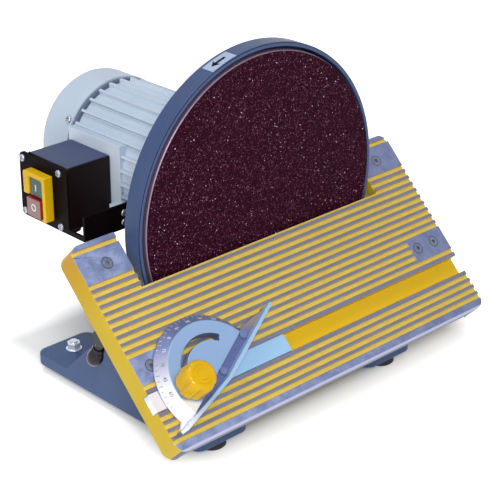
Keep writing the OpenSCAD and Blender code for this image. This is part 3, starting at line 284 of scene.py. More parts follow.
def tableFinish():
    # paint left in the grooves and on the skirts; lands and pads ground to bare metal; the leading edge bevel ground
    # too and painted pale as a highlight, the face under it painted dark as shade
    look = {"low": rgb(197, 170, 42), "high": rgb(188, 140, 6), "shade": rgb(186, 150, 22),
            "groove": rgb(222, 200, 98), "grooveWarm": rgb(220, 188, 88), "slot": rgb(226, 186, 28),
            "pad": rgb(152, 165, 202), "padDark": rgb(118, 128, 168), "padShadeRight": rgb(98, 104, 142),
            "land": rgb(132, 131, 146), "landDark": rgb(112, 106, 116), "bright": rgb(170, 174, 202),
            "front": rgb(96, 96, 112)}
    size = {"first": -16.0 * mm, "step": 8.15 * mm, "groove": 4.2 * mm, "creep": 0.3 * mm, "fade": 0.25 * mm,
            "wobble": 0.3 * mm, "last": 151.2 * mm, "bevel": 158.4 * mm, "padX": 163.9 * mm, "padMid": 75.75 * mm,
            "slotMid": 108.35 * mm, "reach": 14.1 * mm, "top": -0.35 * mm, "lowAt": 20 * mm, "highAt": -50 * mm,
            "slotDeep": -5 * mm, "slotFloor": -6 * mm, "padShadeFrom": -150 * mm, "padShadeTo": 200 * mm,
            "frontFrom": -2.4 * mm, "frontTo": -2.8 * mm}
    fine = {"wobble": (350, 3), "cloud": 16.0, "grain": 700.0, "patch": (70, 4, 0.6), "patches": (0.38, 0.64),
            "stretch": (25, 1100, 1100), "line": (1.0, 4, 0.6), "lines": (0.35, 0.7), "roughLines": (0.3, 0.7),
            "cloudShare": 0.4, "landShare": 0.5, "padShare": 0.4, "padShadeShare": 0.55, "metal": 0.5,
            "paintRough": (0.32, 0.46), "metalRough": (0.3, 0.46), "gloss": 0.22, "bump": 0.12}
    soft = 0.2 * mm
    mat, g, bsdf, coords = newMaterial("tableFinish")
    flat, parts = tableFrame(g, coords, pivotPoint)
    run = g.math("MULTIPLY", parts.outputs["Y"], -1)
    across = g.math("ABSOLUTE", parts.outputs["X"])
    wobble = g.math("MULTIPLY", g.noise(coords, *fine["wobble"]), size["wobble"])

    def near(mid):
        return g.ramp(g.math("ABSOLUTE", g.math("SUBTRACT", run, mid)), size["reach"], size["reach"] - soft)
    midPad = g.math("MULTIPLY", g.ramp(across, size["padX"], size["padX"] + soft), near(size["padMid"]))
    ends = g.math("MAXIMUM", g.ramp(run, size["first"], size["first"] - soft),
                  g.ramp(run, size["last"], size["last"] + soft))
    pads = g.math("MAXIMUM", midPad, ends)
    # paint creeps a little way over the edges of each land
    half = (size["step"] - size["groove"]) / 2
    phase = g.math("FLOORED_MODULO", g.math("SUBTRACT", run, size["first"] + size["groove"]), size["step"])
    off = g.math("ADD", g.math("ABSOLUTE", g.math("SUBTRACT", phase, half)), wobble)
    bare = g.ramp(off, half - size["creep"] + size["fade"], half - size["creep"])
    bare = g.math("MAXIMUM", bare, g.math("MAXIMUM", pads, near(size["slotMid"])))
    height = g.math("ADD", parts.outputs["Z"], wobble)
    top = g.math("MULTIPLY", g.ramp(height, size["top"], size["top"] + soft), bare)
    bevel = g.ramp(run, size["bevel"], size["bevel"] + soft)
    ground = g.math("MAXIMUM", top, bevel)
    skin = useGroup(g, patina, Vector=coords, Cloud_Scale=fine["cloud"], Grain_Scale=fine["grain"])
    patches = g.ramp(g.noise(coords, *fine["patch"]), *fine["patches"])
    # painted shade: the paint turns darker and more orange towards the top of the slope
    paintTone = g.mix(g.ramp(run, size["lowAt"], size["highAt"]), look["low"], look["high"])
    paintTone = g.mix(g.math("MULTIPLY", skin.outputs["Cloud"], fine["cloudShare"]), paintTone, look["shade"])
    # painted light: the groove and slot floors, which look up, get a lighter copy of the paint than the skirts
    upLitTone = g.mix(patches, look["groove"], look["grooveWarm"])
    upLitTone = g.mix(g.ramp(parts.outputs["Z"], size["slotDeep"], size["slotFloor"]), upLitTone, look["slot"])
    paintTone = g.mix(facing(g, tuple(tableNormal)), paintTone, upLitTone)
    stretch = g.node("ShaderNodeMapping")
    g.fill(stretch, Vector=flat, Scale=fine["stretch"])
    lines = g.noise(stretch.outputs[0], *fine["line"])
    landTone = g.mix(g.ramp(lines, *fine["lines"]), look["land"], look["landDark"])
    landTone = g.mix(g.math("MULTIPLY", patches, fine["landShare"]), landTone, look["padDark"])
    padTone = g.mix(patches, look["pad"], look["padDark"])
    padTone = g.mix(g.ramp(lines, *fine["lines"], 0, fine["padShare"]), padTone, look["padDark"])
    # painted shade: the pads darken towards the right
    deep = g.ramp(parts.outputs["X"], size["padShadeFrom"], size["padShadeTo"], 0, fine["padShadeShare"])
    padTone = g.mix(deep, padTone, look["padShadeRight"])
    metalTone = g.mix(pads, landTone, padTone)
    # painted shade: the face under the leading edge bevel is darkened; the bevel itself carries a painted highlight
    frontSide = g.ramp(parts.outputs["Z"], size["frontFrom"], size["frontTo"])
    edgeTone = g.mix(frontSide, look["bright"], look["front"])
    metalTone = g.mix(bevel, metalTone, edgeTone)
    paintRough = g.ramp(skin.outputs["Cloud"], 0, 1, *fine["paintRough"])
    metalRough = g.ramp(lines, *fine["roughLines"], *fine["metalRough"])
    rough = g.node("ShaderNodeMix", data_type="FLOAT")
    for i, v in ((0, ground), (2, paintRough), (3, metalRough)):
        g.link(v, rough.inputs[i])
    g.fill(bsdf, Base_Color=g.mix(ground, paintTone, metalTone), Metallic=g.math("MULTIPLY", ground, fine["metal"]),
           Roughness=rough.outputs[0], Specular_IOR_Level=fine["gloss"])
    addBump(g, bsdf, skin.outputs["Height"], fine["bump"], coatSet["height"])
    return mat


gaugeSet = {"soft": 0.2 * mm, "lean": (-0.45, -0.9), "cloud": 18.0, "grain": 800.0, "far": (-45 * mm, -60 * mm),
            "cloudShare": 0.12, "rough": (0.28, 0.4), "metal": 0.2, "bump": 0.08, "height": 0.3 * mm}


def gaugeFinish(name, low, high, pale, level, glareFrom, glareTo, far=None):
    # cast gauge part in two tones, split at a height, with a painted reflection that turns it pale towards the near
    # left end
    mat, g, bsdf, coords = newMaterial(name)
    _, parts = tableFrame(g, coords, barMatrix.translation)
    upper = g.ramp(parts.outputs["Z"], level - gaugeSet["soft"], level)
    leanX, leanY = gaugeSet["lean"]
    lean = g.math("ADD", g.math("MULTIPLY", parts.outputs["X"], leanX),
                  g.math("MULTIPLY", parts.outputs["Y"], leanY))
    skin = useGroup(g, patina, Vector=coords, Cloud_Scale=gaugeSet["cloud"], Grain_Scale=gaugeSet["grain"])
    lowTone = g.mix(g.ramp(lean, glareFrom[0], glareTo[0]), low, pale)
    highTone = g.mix(g.ramp(lean, glareFrom[1], glareTo[1]), high, pale)
    # painted reflection: the far end takes a tint of the table's colours
    if far:
        lowTone = g.mix(g.ramp(lean, *gaugeSet["far"]), lowTone, far)
    tone = g.mix(upper, lowTone, highTone)
    tone = g.mix(g.math("MULTIPLY", skin.outputs["Cloud"], gaugeSet["cloudShare"]), tone, low)
    g.fill(bsdf, Base_Color=tone, Roughness=g.ramp(skin.outputs["Cloud"], 0, 1, *gaugeSet["rough"]),
           Metallic=gaugeSet["metal"])
    addBump(g, bsdf, skin.outputs["Height"], gaugeSet["bump"], gaugeSet["height"])
    return mat


def abrasiveFinish():
    # maroon grit bonded on cloth, with darker clumps
    look = {"grit": rgb(48, 5, 27), "deep": rgb(31, 2, 17), "pale": rgb(126, 72, 98)}
    fine = {"cells": 900, "clump": (260, 5, 0.65), "clumps": (0.35, 0.66), "hollow": (0.55, 0.15, 0, 0.45),
            "speck": (620, 2, 0.5), "specks": (0.60, 0.70, 0, 0.9), "rough": (0.3, 0.7, 0.55, 0.8), "gloss": 0.05,
            "bump": 0.6, "height": 0.6 * mm}
    mat, g, bsdf, coords = newMaterial("abrasiveFinish")
    cells = g.node("ShaderNodeTexVoronoi", feature="F1")
    g.fill(cells, Vector=coords, Scale=fine["cells"])
    clumps = g.noise(coords, *fine["clump"])
    tone = g.mix(g.ramp(clumps, *fine["clumps"]), look["grit"], look["deep"])
    tone = g.mix(g.ramp(cells.outputs["Distance"], *fine["hollow"]), tone, look["deep"])
    tone = g.mix(g.ramp(g.noise(coords, *fine["speck"]), *fine["specks"]), tone, look["pale"])
    g.fill(bsdf, Base_Color=tone, Roughness=g.ramp(clumps, *fine["rough"]), Specular_IOR_Level=fine["gloss"])
    addBump(g, bsdf, cells.outputs["Distance"], fine["bump"], fine["height"])
    return mat


looks = {
    "frame_paint": coated("framePaint", rgb(66, 90, 133), rgb(61, 84, 125), worn=rgb(140, 150, 170), wear=0.45,
                          bump=0.18, gloss=0.2),
    "motor_paint": coated("motorPaint", rgb(180, 195, 211), rgb(168, 183, 201), rough=(0.28, 0.4),
                          worn=rgb(214, 220, 228), wear=0.3, cloud=9.0),
    "table_metal": tableFinish(),
    "trunnion_metal": coated("trunnionPaint", rgb(203, 174, 48), rgb(182, 146, 32), worn=rgb(150, 150, 150),
                             wear=0.4),
    "disc_metal": machined("turnedAluminium", rgb(186, 178, 188), rgb(158, 152, 164)),
    "steel": machined("zincSteel", rgb(182, 188, 198), rgb(136, 142, 152), stretch=(300, 300, 300)),
    "dark_steel": machined("bluedSteel", rgb(80, 82, 88), rgb(52, 54, 60), stretch=(300, 900, 300)),
    "copper_wire": machined("windingWire", rgb(184, 104, 58), rgb(120, 60, 34), stretch=(200, 1500, 200),
                            bump=0.3),
    "black_steel": coated("blackPaint", rgb(14, 6, 7), rgb(10, 5, 5), rough=(0.5, 0.62), worn=rgb(84, 82, 86),
                          wear=0.2, gloss=0.05),
    # the box's top faces carry a dusting with a painted sheen
    "black_plastic": coated("blackPlastic", rgb(21, 9, 9), rgb(15, 6, 6), rough=(0.4, 0.55), grain=1400.0, bump=0.3,
                            gloss=0.2, dustAndSheen=rgb(58, 70, 106)),
    "yellow_plastic": coated("yellowPlastic", rgb(224, 182, 14), rgb(210, 164, 10), rough=(0.22, 0.34), bump=0.05,
                             gloss=0.3),
    "green_plastic": coated("greenPlastic", rgb(58, 86, 83), rgb(50, 76, 74), rough=(0.28, 0.4), bump=0.08,
                            gloss=0.4),
    "red_plastic": coated("redPlastic", rgb(170, 84, 82), rgb(150, 36, 38), rough=(0.28, 0.4), bump=0.08, coat=0.15),
    "white_plastic": coated("whitePlastic", rgb(226, 218, 222), rgb(210, 198, 206), rough=(0.35, 0.5), bump=0.06),
    "rubber": coated("footRubber", rgb(26, 25, 27), rgb(17, 16, 18), rough=(0.65, 0.85), bump=0.4, grain=600.0),
    "abrasive": abrasiveFinish(),
    "gauge_metal": coated("gaugeSilver", rgb(136, 162, 197), rgb(124, 150, 186), rough=(0.24, 0.36), metal=0.35,
                          worn=rgb(210, 220, 232), wear=0.4, bump=0.1),
}
leverGloss = coated("leverGloss", rgb(27, 15, 31), rgb(20, 10, 23), rough=(0.2, 0.28), bump=0.04, gloss=0.3)
# zinc plate coloured near white, partly as a painted glint
brightZinc = machined("brightZinc", rgb(236, 240, 248), rgb(206, 212, 224), rough=(0.2, 0.3),
                      stretch=(300, 300, 300), metal=0.5)
special = {
    "mitre_head": gaugeFinish("headFinish", rgb(102, 114, 160), rgb(137, 167, 206), rgb(255, 255, 255),
                              level=12.4 * mm, glareFrom=(-22 * mm, 30 * mm), glareTo=(40 * mm, 34 * mm)),
    # painted reflection of the table at the far end; the lower sill is painted darker as shade
    "mitre_fence": gaugeFinish("fenceFinish", rgb(96, 106, 154), rgb(158, 190, 224), rgb(226, 234, 244),
                               level=8.2 * mm, glareFrom=(75 * mm, 30 * mm), glareTo=(85 * mm, 60 * mm),
                               far=rgb(150, 132, 120)),
    "mitre_bar": gaugeFinish("barFinish", rgb(152, 194, 230), rgb(152, 194, 230), rgb(228, 230, 238),
                             level=1.0, glareFrom=(24 * mm, 24 * mm), glareTo=(30 * mm, 30 * mm)),
    # painted light: the guard's forward-facing faces are painted lighter
    "disc_guard": coated("guardPaint", rgb(61, 78, 116), rgb(56, 72, 108), worn=rgb(120, 130, 156), wear=0.35,
                         bump=0.18, gloss=0.2, face=((0, -1, 0), rgb(68, 85, 124))),
    # painted light: the motor frame's left-facing faces are painted lighter
    "motor_frame": coated("finPaint", rgb(181, 196, 212), rgb(168, 183, 201), rough=(0.28, 0.4),
                          worn=rgb(214, 220, 228), wear=0.3, cloud=9.0, face=((-1, 0, 0), rgb(206, 217, 231))),
    "disc_plate": machined("turnedRim", rgb(142, 122, 146), rgb(118, 100, 122), rough=(0.42, 0.55), metal=0.6),
    # painted shade: the rear end shield is darkened for the shadow in the gap under the fan cowl
    "rear_end_shield": coated("shieldGapShade", rgb(94, 105, 130), rgb(76, 86, 110), rough=(0.5, 0.65)),
    # painted highlight: the stop button's left-facing face is painted pale
    "stop_button": coated("stopRed", rgb(132, 18, 14), rgb(118, 12, 10), rough=(0.28, 0.4), bump=0.08,
                          face=((-1, 0, 0), rgb(138, 104, 103))),
    "foot_bolts": brightZinc,
    "foot_nuts": brightZinc,
    "fence_screws": machined("fenceScrewSteel", rgb(122, 134, 180), rgb(104, 116, 162), stretch=(300, 300, 300),
                             metal=0.4),
    "trunnion_screws": machined("screwSteel", rgb(128, 138, 158), rgb(104, 112, 132), stretch=(300, 300, 300),
                                metal=0.6),
}
for side in ("left", "right"):
    special["clamp_lever_" + side] = leverGloss
    special["lever_bulb_" + side] = leverGloss
slotOf = {row["node"]: row["material_slot"] for row in frame["record"]["subparts"]}
for name, obj in frame["nodes"].items():
    obj.data.materials.clear()
    obj.data.materials.append(special.get(name, looks[slotOf[name]]))
print("materials on", len(slotOf), "nodes")


# pieces
def finishPiece(name, mesh, body, slot, nodes=(), material=None, smooth=32):
    obj = addObject(name, mesh)
    if material or not mesh.materials:
        mesh.materials.clear()
        mesh.materials.append(material or looks[slot])
    if smooth:
        mesh.shade_smooth()
        mesh.set_sharp_from_angle(angle=math.radians(smooth))
    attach(obj, body)
    if nodes:
        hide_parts(*nodes)
    return obj


def bodyOf(node):
    for body, names in frame["record"]["behaviour"]["bodies"].items():
        if node in names:
            return body


def slab(x0, x1, y0, y1, z0, z1):
    bm = bmesh.new()
    bmesh.ops.create_cube(bm, size=1)
    for v in bm.verts:
        v.co = Vector(((x0 + x1) / 2 + v.co.x * (x1 - x0), (y0 + y1) / 2 + v.co.y * (y1 - y0),
                       (z0 + z1) / 2 + v.co.z * (z1 - z0)))
    mesh = bpy.data.meshes.new("slab")
    bm.to_mesh(mesh)
    bm.free()
    return mesh


def cut(obj, mesh):
    # takes a mesh out of an object; the returned tool goes once the result is made
    tool = addObject("tool", mesh)
    carve = obj.modifiers.new("carve", "BOOLEAN")
    carve.operation = "DIFFERENCE"
    carve.object = tool
    return tool


# the table's edges: hair of metal at the notch left out, ground top kept flat
notchSet = {"half": 163 * mm, "near": 0.34 * mm, "far": 0.2 * mm, "deep": 0.4 * mm}
topSet = {"area": 3e-6, "along": 0.98, "drop": 0.4 * mm}


def trimNotch(obj):
    half, near, far, deep = (notchSet[key] for key in ("half", "near", "far", "deep"))
    block = slab(-half, half, -near, far, -deep, far)
    block.transform(tableMatrix)
    return cut(obj, block)


def levelTop(mesh):
    inverse = tableMatrix.inverted()
    for face in mesh.polygons:
        if face.area > topSet["area"] and face.normal.dot(tableNormal) > topSet["along"]:
            for i in face.vertices:
                spot = inverse @ mesh.vertices[i].co
                if -topSet["drop"] < spot.z < 0:
                    spot.z = 0
                    mesh.vertices[i].co = tableMatrix @ spot


# edges broken on the solids; weld in metres, angles in degrees
softSet = {"weld": 3e-6, "flat": 0.4, "angle": 34, "segments": 2, "crispSmooth": 24}


def softEdges(node, width, crisp=False):
    bm = bmesh.new()
    bm.from_mesh(frame["nodes"][node].data)
    bmesh.ops.remove_doubles(bm, verts=bm.verts, dist=softSet["weld"])
    bmesh.ops.dissolve_limit(bm, angle_limit=math.radians(softSet["flat"]), verts=bm.verts, edges=bm.edges)
    mesh = bpy.data.meshes.new(node + "Edges")
    bm.to_mesh(mesh)
    bm.free()
    obj = addObject(node + "Edges", mesh)
    tool = trimNotch(obj) if crisp else None
    bevel = obj.modifiers.new("edges", "BEVEL")
    bevel.width = width
    bevel.segments = 1 if crisp else softSet["segments"]
    bevel.limit_method = "ANGLE"
    bevel.angle_limit = math.radians(softSet["angle"])
    bevel.use_clamp_overlap = False
    bevel.miter_outer = "MITER_SHARP" if crisp else "MITER_ARC"
    if not crisp:
        mesh.shade_smooth()
        weigh = obj.modifiers.new("weigh", "WEIGHTED_NORMAL")
        weigh.mode = "FACE_AREA"
    done = plainMesh(obj)
    bpy.data.objects.remove(obj)
    if crisp:
        bpy.data.objects.remove(tool)
        levelTop(done)
    return finishPiece(node + "Shell", done, bodyOf(node), slotOf[node], (node,), special.get(node),
                       smooth=softSet["crispSmooth"] if crisp else None)


# width of the broken edge in millimetres
edgeSet = {"table_casting": 0.3, "base_frame": 1.4, "disc_guard": 1.0, "motor_frame": 0.7, "switch_box": 2.0,
           "switch_panel": 0.8, "switch_housing": 1.6, "start_button": 1.0, "stop_button": 1.0, "mitre_head": 0.5,
           "mitre_fence": 0.5, "mitre_bar": 0.5, "mitre_pointer": 0.2, "trunnion_left": 1.0, "trunnion_right": 1.0,
           "disc_plate": 0.4, "cable_gland": 0.6, "foot_nuts": 0.5}
for name, width in edgeSet.items():
    softEdges(name, width * mm, crisp=name == "table_casting")
print("edges broken on", len(edgeSet), "nodes")


# geometry node helpers
def geoTree(name, inputs):
    shape = ("Geometry", "NodeSocketGeometry")
    return newTree(name, "GeometryNodeTree", [shape + (None,)] + inputs, [shape])


def closeTree(g, gin, gout, geometry):
    # makes the instances real and gives them the material input
    real = g.node("GeometryNodeRealizeInstances")
    g.link(geometry, real.inputs[0])
    paint = g.node("GeometryNodeSetMaterial")
    g.link(real.outputs[0], paint.inputs[0])
    g.link(gin.outputs["Material"], paint.inputs["Material"])
    g.link(paint.outputs[0], gout.inputs[0])


def grow(name, tree, values, mesh=None, turn=None):
    # runs the tree on a mesh and returns the plain result
    obj = addObject(name, mesh or bpy.data.meshes.new(name + "Base"))
    mod = obj.modifiers.new(name, "NODES")
    mod.node_group = tree
    for item in tree.interface.items_tree:
        if item.in_out == "INPUT" and item.name in values:
            mod[item.identifier] = values[item.name]
    obj.update_tag()
    done = plainMesh(obj)
    obj.modifiers.remove(mod)
    bpy.data.objects.remove(obj)
    if turn is not None:
        done.transform(turn)
    return done


def meshFrom(name, verts, faces, weld=1e-7):
    mesh = bpy.data.meshes.new(name)
    mesh.from_pydata([tuple(v) for v in verts], [], faces)
    bm = bmesh.new()
    bm.from_mesh(mesh)
    bmesh.ops.remove_doubles(bm, verts=bm.verts, dist=weld)
    bmesh.ops.recalc_face_normals(bm, faces=bm.faces)
    bm.to_mesh(mesh)
    bm.free()
    return mesh


def lathe(name, profile, steps, turn=None, lobes=None):
    # spins (radius, height) pairs round Z; lobes bends the radius with the angle
    verts, faces = [], []
    for j in range(steps):
        a = 2 * math.pi * j / steps
        for r, z in profile:
            rr = lobes(r, a) if lobes else r
            verts.append(Vector((rr * math.cos(a), rr * math.sin(a), z)))
    n = len(profile)
    for j in range(steps):
        k = (j + 1) % steps
        for i in range(n - 1):
            faces.append((j * n + i, k * n + i, k * n + i + 1, j * n + i + 1))
    mesh = meshFrom(name, verts, faces)
    if turn is not None:
        mesh.transform(turn)
    return mesh


def joined(name, meshes):
    bm = bmesh.new()
    for mesh in meshes:
        bm.from_mesh(mesh)
    done = bpy.data.meshes.new(name)
    bm.to_mesh(done)
    bm.free()
    for mesh in meshes:
        bpy.data.meshes.remove(mesh)
    return done


# loose grains standing out of the abrasive; the palest are coloured near white as painted glints
gritSet = {"radius": 151.0 * mm, "sides": 96, "density": 190000.0, "small": 0.12 * mm, "large": 0.72 * mm, "seed": 7,
           "tintSeed": 3, "spin": (6.28, 6.28, 6.28), "smooth": 10,
           "cone": {"Vertices": 4, "Radius Top": 0.0, "Radius Bottom": 1.0, "Depth": 1.5}}
gritLook = {"dark": rgb(46, 5, 24), "rosy": rgb(150, 98, 120), "glint": rgb(252, 238, 244), "rosyFrom": (0.62, 0.9),
            "glintFrom": (0.94, 0.985), "gloss": 0.15, "noise": 900, "rough": (0.3, 0.7, 0.2, 0.5)}


def gritFinish():
    mat, g, bsdf, coords = newMaterial("gritGrain")
    tint = g.node("ShaderNodeAttribute", attribute_name="sparkle").outputs["Fac"]
    tone = g.mix(g.ramp(tint, *gritLook["rosyFrom"]), gritLook["dark"], gritLook["rosy"])
    tone = g.mix(g.ramp(tint, *gritLook["glintFrom"]), tone, gritLook["glint"])
    rough = g.ramp(g.noise(coords, gritLook["noise"]), *gritLook["rough"])
    g.fill(bsdf, Base_Color=tone, Roughness=rough, Specular_IOR_Level=gritLook["gloss"])
    return mat


def gritTree():
    tree, g, gin, gout = geoTree("gritScatter", [
        ("Density", "NodeSocketFloat", 1000.0), ("Small", "NodeSocketFloat", 0.2 * mm),
        ("Large", "NodeSocketFloat", 0.5 * mm), ("Seed", "NodeSocketInt", 0), ("Material", "NodeSocketMaterial", None)])
    spread = g.node("GeometryNodeDistributePointsOnFaces", distribute_method="RANDOM")
    g.fill(spread, Mesh=gin.outputs["Geometry"], Density=gin.outputs["Density"], Seed=gin.outputs["Seed"])
    grain = g.node("GeometryNodeMeshCone")
    g.fill(grain, **gritSet["cone"])
    size = g.node("FunctionNodeRandomValue", data_type="FLOAT")
    g.link(gin.outputs["Small"], size.inputs[2])
    g.link(gin.outputs["Large"], size.inputs[3])
    g.link(gin.outputs["Seed"], size.inputs["Seed"])
    spin = g.node("FunctionNodeRandomValue", data_type="FLOAT_VECTOR")
    spin.inputs[1].default_value = gritSet["spin"]
    copies = g.node("GeometryNodeInstanceOnPoints")
    g.fill(copies, Points=spread.outputs["Points"], Instance=grain.outputs["Mesh"], Scale=size.outputs[1],
           Rotation=spin.outputs[0])
    shine = g.node("FunctionNodeRandomValue", data_type="FLOAT")
    g.fill(shine, Seed=gritSet["tintSeed"])
    store = g.node("GeometryNodeStoreNamedAttribute", data_type="FLOAT", domain="INSTANCE")
    g.fill(store, Geometry=copies.outputs[0], Name="sparkle", Value=shine.outputs[1])
    closeTree(g, gin, gout, store.outputs[0])
    return tree


def buildGrit():
    sides = gritSet["sides"]
    ring = [rimPoint(gritSet["radius"], 360 * i / sides, 0) for i in range(sides)]
    base = bpy.data.meshes.new("gritBase")
    base.from_pydata([tuple(v) for v in ring], [], [tuple(range(sides))])
    done = grow("grit", gritTree(), {
        "Density": gritSet["density"], "Small": gritSet["small"], "Large": gritSet["large"],
        "Seed": gritSet["seed"], "Material": gritFinish()}, base)
    finishPiece("abrasiveGrit", done, "rotor", "abrasive", smooth=gritSet["smooth"])
    print("grit faces:", len(done.polygons))


buildGrit()

# pan head screws with a cross recess, and their places from the disc's centre
screwSet = {"radius": 4.0 * mm, "height": 2.6 * mm, "arm": 2.6 * mm, "slit": 0.9 * mm, "sink": 1.3 * mm, "round": 0.35,
            "steps": 28, "smooth": 40}
screwPlaces = {"panelX": -129 * mm, "panelY": (165, 226), "panelZ": (-43, 16), "panelRoll": 20,
               "cowlR": 72.5 * mm, "cowlY": 234 * mm, "cowlAngles": (32, 148, 212, 328), "legX": -77 * mm,
               "legY": 128 * mm, "legZ": (-31, -41)}


def panHead():
    r, h, bend = screwSet["radius"], screwSet["height"], screwSet["round"]
    rim = []
    for angle in range(0, 91, 15):
        a = math.radians(angle)
        rim.append((r * math.cos(a) * bend + r * (1 - bend), h * (bend + (1 - bend) * math.sin(a))))
    obj = addObject("panHead", lathe("panHead", [(0, 0), (r, 0)] + rim + [(0, h)], screwSet["steps"]))
    arm, slit, sink = screwSet["arm"], screwSet["slit"] / 2, screwSet["sink"]
    for a, b in ((arm, slit), (slit, arm)):
        tool = cut(obj, slab(-a, a, -b, b, h - sink, h + sink))
        obj.data = plainMesh(obj)
        obj.modifiers.clear()
        bpy.data.objects.remove(tool)
    return obj


def screwTree():
    tree, g, gin, gout = geoTree("screwHeads", [
        ("Head", "NodeSocketObject", None), ("Material", "NodeSocketMaterial", None)])
    info = g.node("GeometryNodeObjectInfo")
    g.fill(info, Object=gin.outputs["Head"])
    turned = g.node("GeometryNodeInputNamedAttribute", data_type="FLOAT_VECTOR")
    g.fill(turned, Name="facing")
    copies = g.node("GeometryNodeInstanceOnPoints")
    g.fill(copies, Points=gin.outputs["Geometry"], Instance=info.outputs["Geometry"], Rotation=turned.outputs[0])
    closeTree(g, gin, gout, copies.outputs[0])
    return tree


def setHeads(name, spots, turns, head, material):
    # one head on each spot, turned by its own angles
    base = bpy.data.meshes.new(name + "Spots")
    base.from_pydata([tuple(v) for v in spots], [], [])
    facings = base.attributes.new("facing", "FLOAT_VECTOR", "POINT")
    for row, angles in zip(facings.data, turns):
        row.vector = angles
    done = grow(name, screwTree(), {"Head": head, "Material": material}, base)
    bpy.data.objects.remove(head)
    return done


def buildScrews():
    rows = []
    for y in screwPlaces["panelY"]:
        for z in screwPlaces["panelZ"]:
            spot = axisMatrix @ Vector((screwPlaces["panelX"], y * mm, z * mm))
            rows.append((spot, Vector((-1, 0, 0)), screwPlaces["panelRoll"] + y + z))
    for angle in screwPlaces["cowlAngles"]:
        out = Vector((math.cos(math.radians(angle)), 0, math.sin(math.radians(angle))))
        rows.append((rimPoint(screwPlaces["cowlR"], angle, screwPlaces["cowlY"]), out, angle))
    for z in screwPlaces["legZ"]:
        spot = axisMatrix @ Vector((screwPlaces["legX"], screwPlaces["legY"], z * mm))
        rows.append((spot, Vector((0, -1, 0)), z))
    # each recess is rolled by another angle, in radians
    turns = [(out.to_track_quat("Z", "Y") @ Matrix.Rotation(roll, 3, "Z").to_quaternion()).to_euler()
             for _, out, roll in rows]
    done = setHeads("screwHeads", [row[0] for row in rows], turns, panHead(), looks["steel"])
    finishPiece("panScrews", done, "stand", "steel", ("panel_screws", "cowl_screws", "bracket_screws"),
                smooth=screwSet["smooth"])


buildScrews()

# dark ring sheet round each countersunk screw in the table, a painted shadow in the gap
ringSet = {"inner": 5.2 * mm, "outer": 6.3 * mm, "proud": 0.06 * mm, "deep": 0.3 * mm, "steps": 40, "smooth": 40}


def screwCentres(node):
    # centre of each loose solid in the node, on the table's face, always in the same order
    bm = bmesh.new()
    bm.from_mesh(frame["nodes"][node].data)
    bmesh.ops.remove_doubles(bm, verts=bm.verts, dist=softSet["weld"])
    bm.transform(tableMatrix.inverted())
    spots, waiting = [], set(bm.verts)
    while waiting:
        heap, island = [waiting.pop()], []
        while heap:
            v = heap.pop()
            island.append(v.co.copy())
            for e in v.link_edges:
                w = e.other_vert(v)
                if w in waiting:
                    waiting.remove(w)
                    heap.append(w)
        xs, ys = [v.x for v in island], [v.y for v in island]
        spots.append(tableMatrix @ Vector(((min(xs) + max(xs)) / 2, (min(ys) + max(ys)) / 2, 0)))
    bm.free()
    return sorted(spots, key=tuple)


def tube(name, r0, r1, low, high, steps, turn=None):
    return lathe(name, [(r0, low), (r1, low), (r1, high), (r0, high), (r0, low)], steps, turn)


def buildRings():
    spots = screwCentres("trunnion_screws")
    ring = addObject("ring", tube("ring", ringSet["inner"], ringSet["outer"], -ringSet["deep"], ringSet["proud"],
                                  ringSet["steps"]))
    finish = coated("ringShadow", rgb(78, 82, 104), rgb(62, 66, 86), bump=0.05)
    turns = [(math.radians(place["tilt"]), 0, 0)] * len(spots)
    done = setHeads("screwRings", spots, turns, ring, finish)
    finishPiece("screwRings", done, "table", "dark_steel", smooth=ringSet["smooth"])


buildRings()

# rotation arrow on the guard rim
arrowSet = {"radius": 160.15 * mm, "from": 101.5, "to": 113.0, "near": 4.5 * mm, "far": 20.0 * mm, "plate": 0.25 * mm,
            "cells": 12, "plateLift": -0.1 * mm, "markLift": 0.16 * mm,
            "shaft": (0.26, 0.34, 0.42, 0.50, 0.58), "shaftStep": 0.08, "shaftSides": (0.42, 0.60),
            "tip": ((0.60, 0.18), (0.82, 0.51), (0.60, 0.84), (0.66, 0.51))}


def wrapped(name, outline, lift):
    # flat outline of (share round the label, share across it) bent on the rim, with a little thickness
    verts = []
    for level in (lift, lift + arrowSet["plate"]):
        for u, v in outline:
            angle = arrowSet["from"] + u * (arrowSet["to"] - arrowSet["from"])
            back = arrowSet["near"] + v * (arrowSet["far"] - arrowSet["near"])
            verts.append(rimPoint(arrowSet["radius"] + level, angle, back))
    n = len(outline)
    faces = [tuple(range(n)), tuple(range(2 * n - 1, n - 1, -1))]
    faces += [(i, (i + 1) % n, n + (i + 1) % n, n + i) for i in range(n)]
    return meshFrom(name, verts, faces)


def buildArrow():
    count = arrowSet["cells"]
    cells = []
    for i in range(count):
        u0, u1 = i / count, (i + 1) / count
        cells.append(wrapped("cell", [(u0, 0), (u1, 0), (u1, 1), (u0, 1)], arrowSet["plateLift"]))
    finish = coated("arrowPlateFinish", rgb(158, 176, 204), rgb(144, 162, 192), rough=(0.3, 0.45), bump=0.05)
    finishPiece("arrowPlate", joined("arrowPlate", cells), "stand", "white_plastic", material=finish)
    step, (v0, v1), lift = arrowSet["shaftStep"], arrowSet["shaftSides"], arrowSet["markLift"]
    marks = [wrapped("shaft", [(u, v0), (u + step, v0), (u + step, v1), (u, v1)], lift) for u in arrowSet["shaft"]]
    marks.append(wrapped("tip", arrowSet["tip"], lift))
    finishPiece("arrowMark", joined("arrowMark", marks), "stand", "black_plastic", material=looks["black_steel"])


buildArrow()

# start and stop marks on the buttons
markSet = {"startX": -139.0 * mm, "stopX": -143.0 * mm, "midY": 192.7 * mm, "startZ": -5.5 * mm, "stopZ": -26.2 * mm,
           "proud": 0.25 * mm, "sunk": 0.4 * mm, "barHalf": 0.8 * mm, "barReach": 3.4 * mm, "inner": 2.5 * mm,
           "outer": 4.1 * mm, "steps": 36}


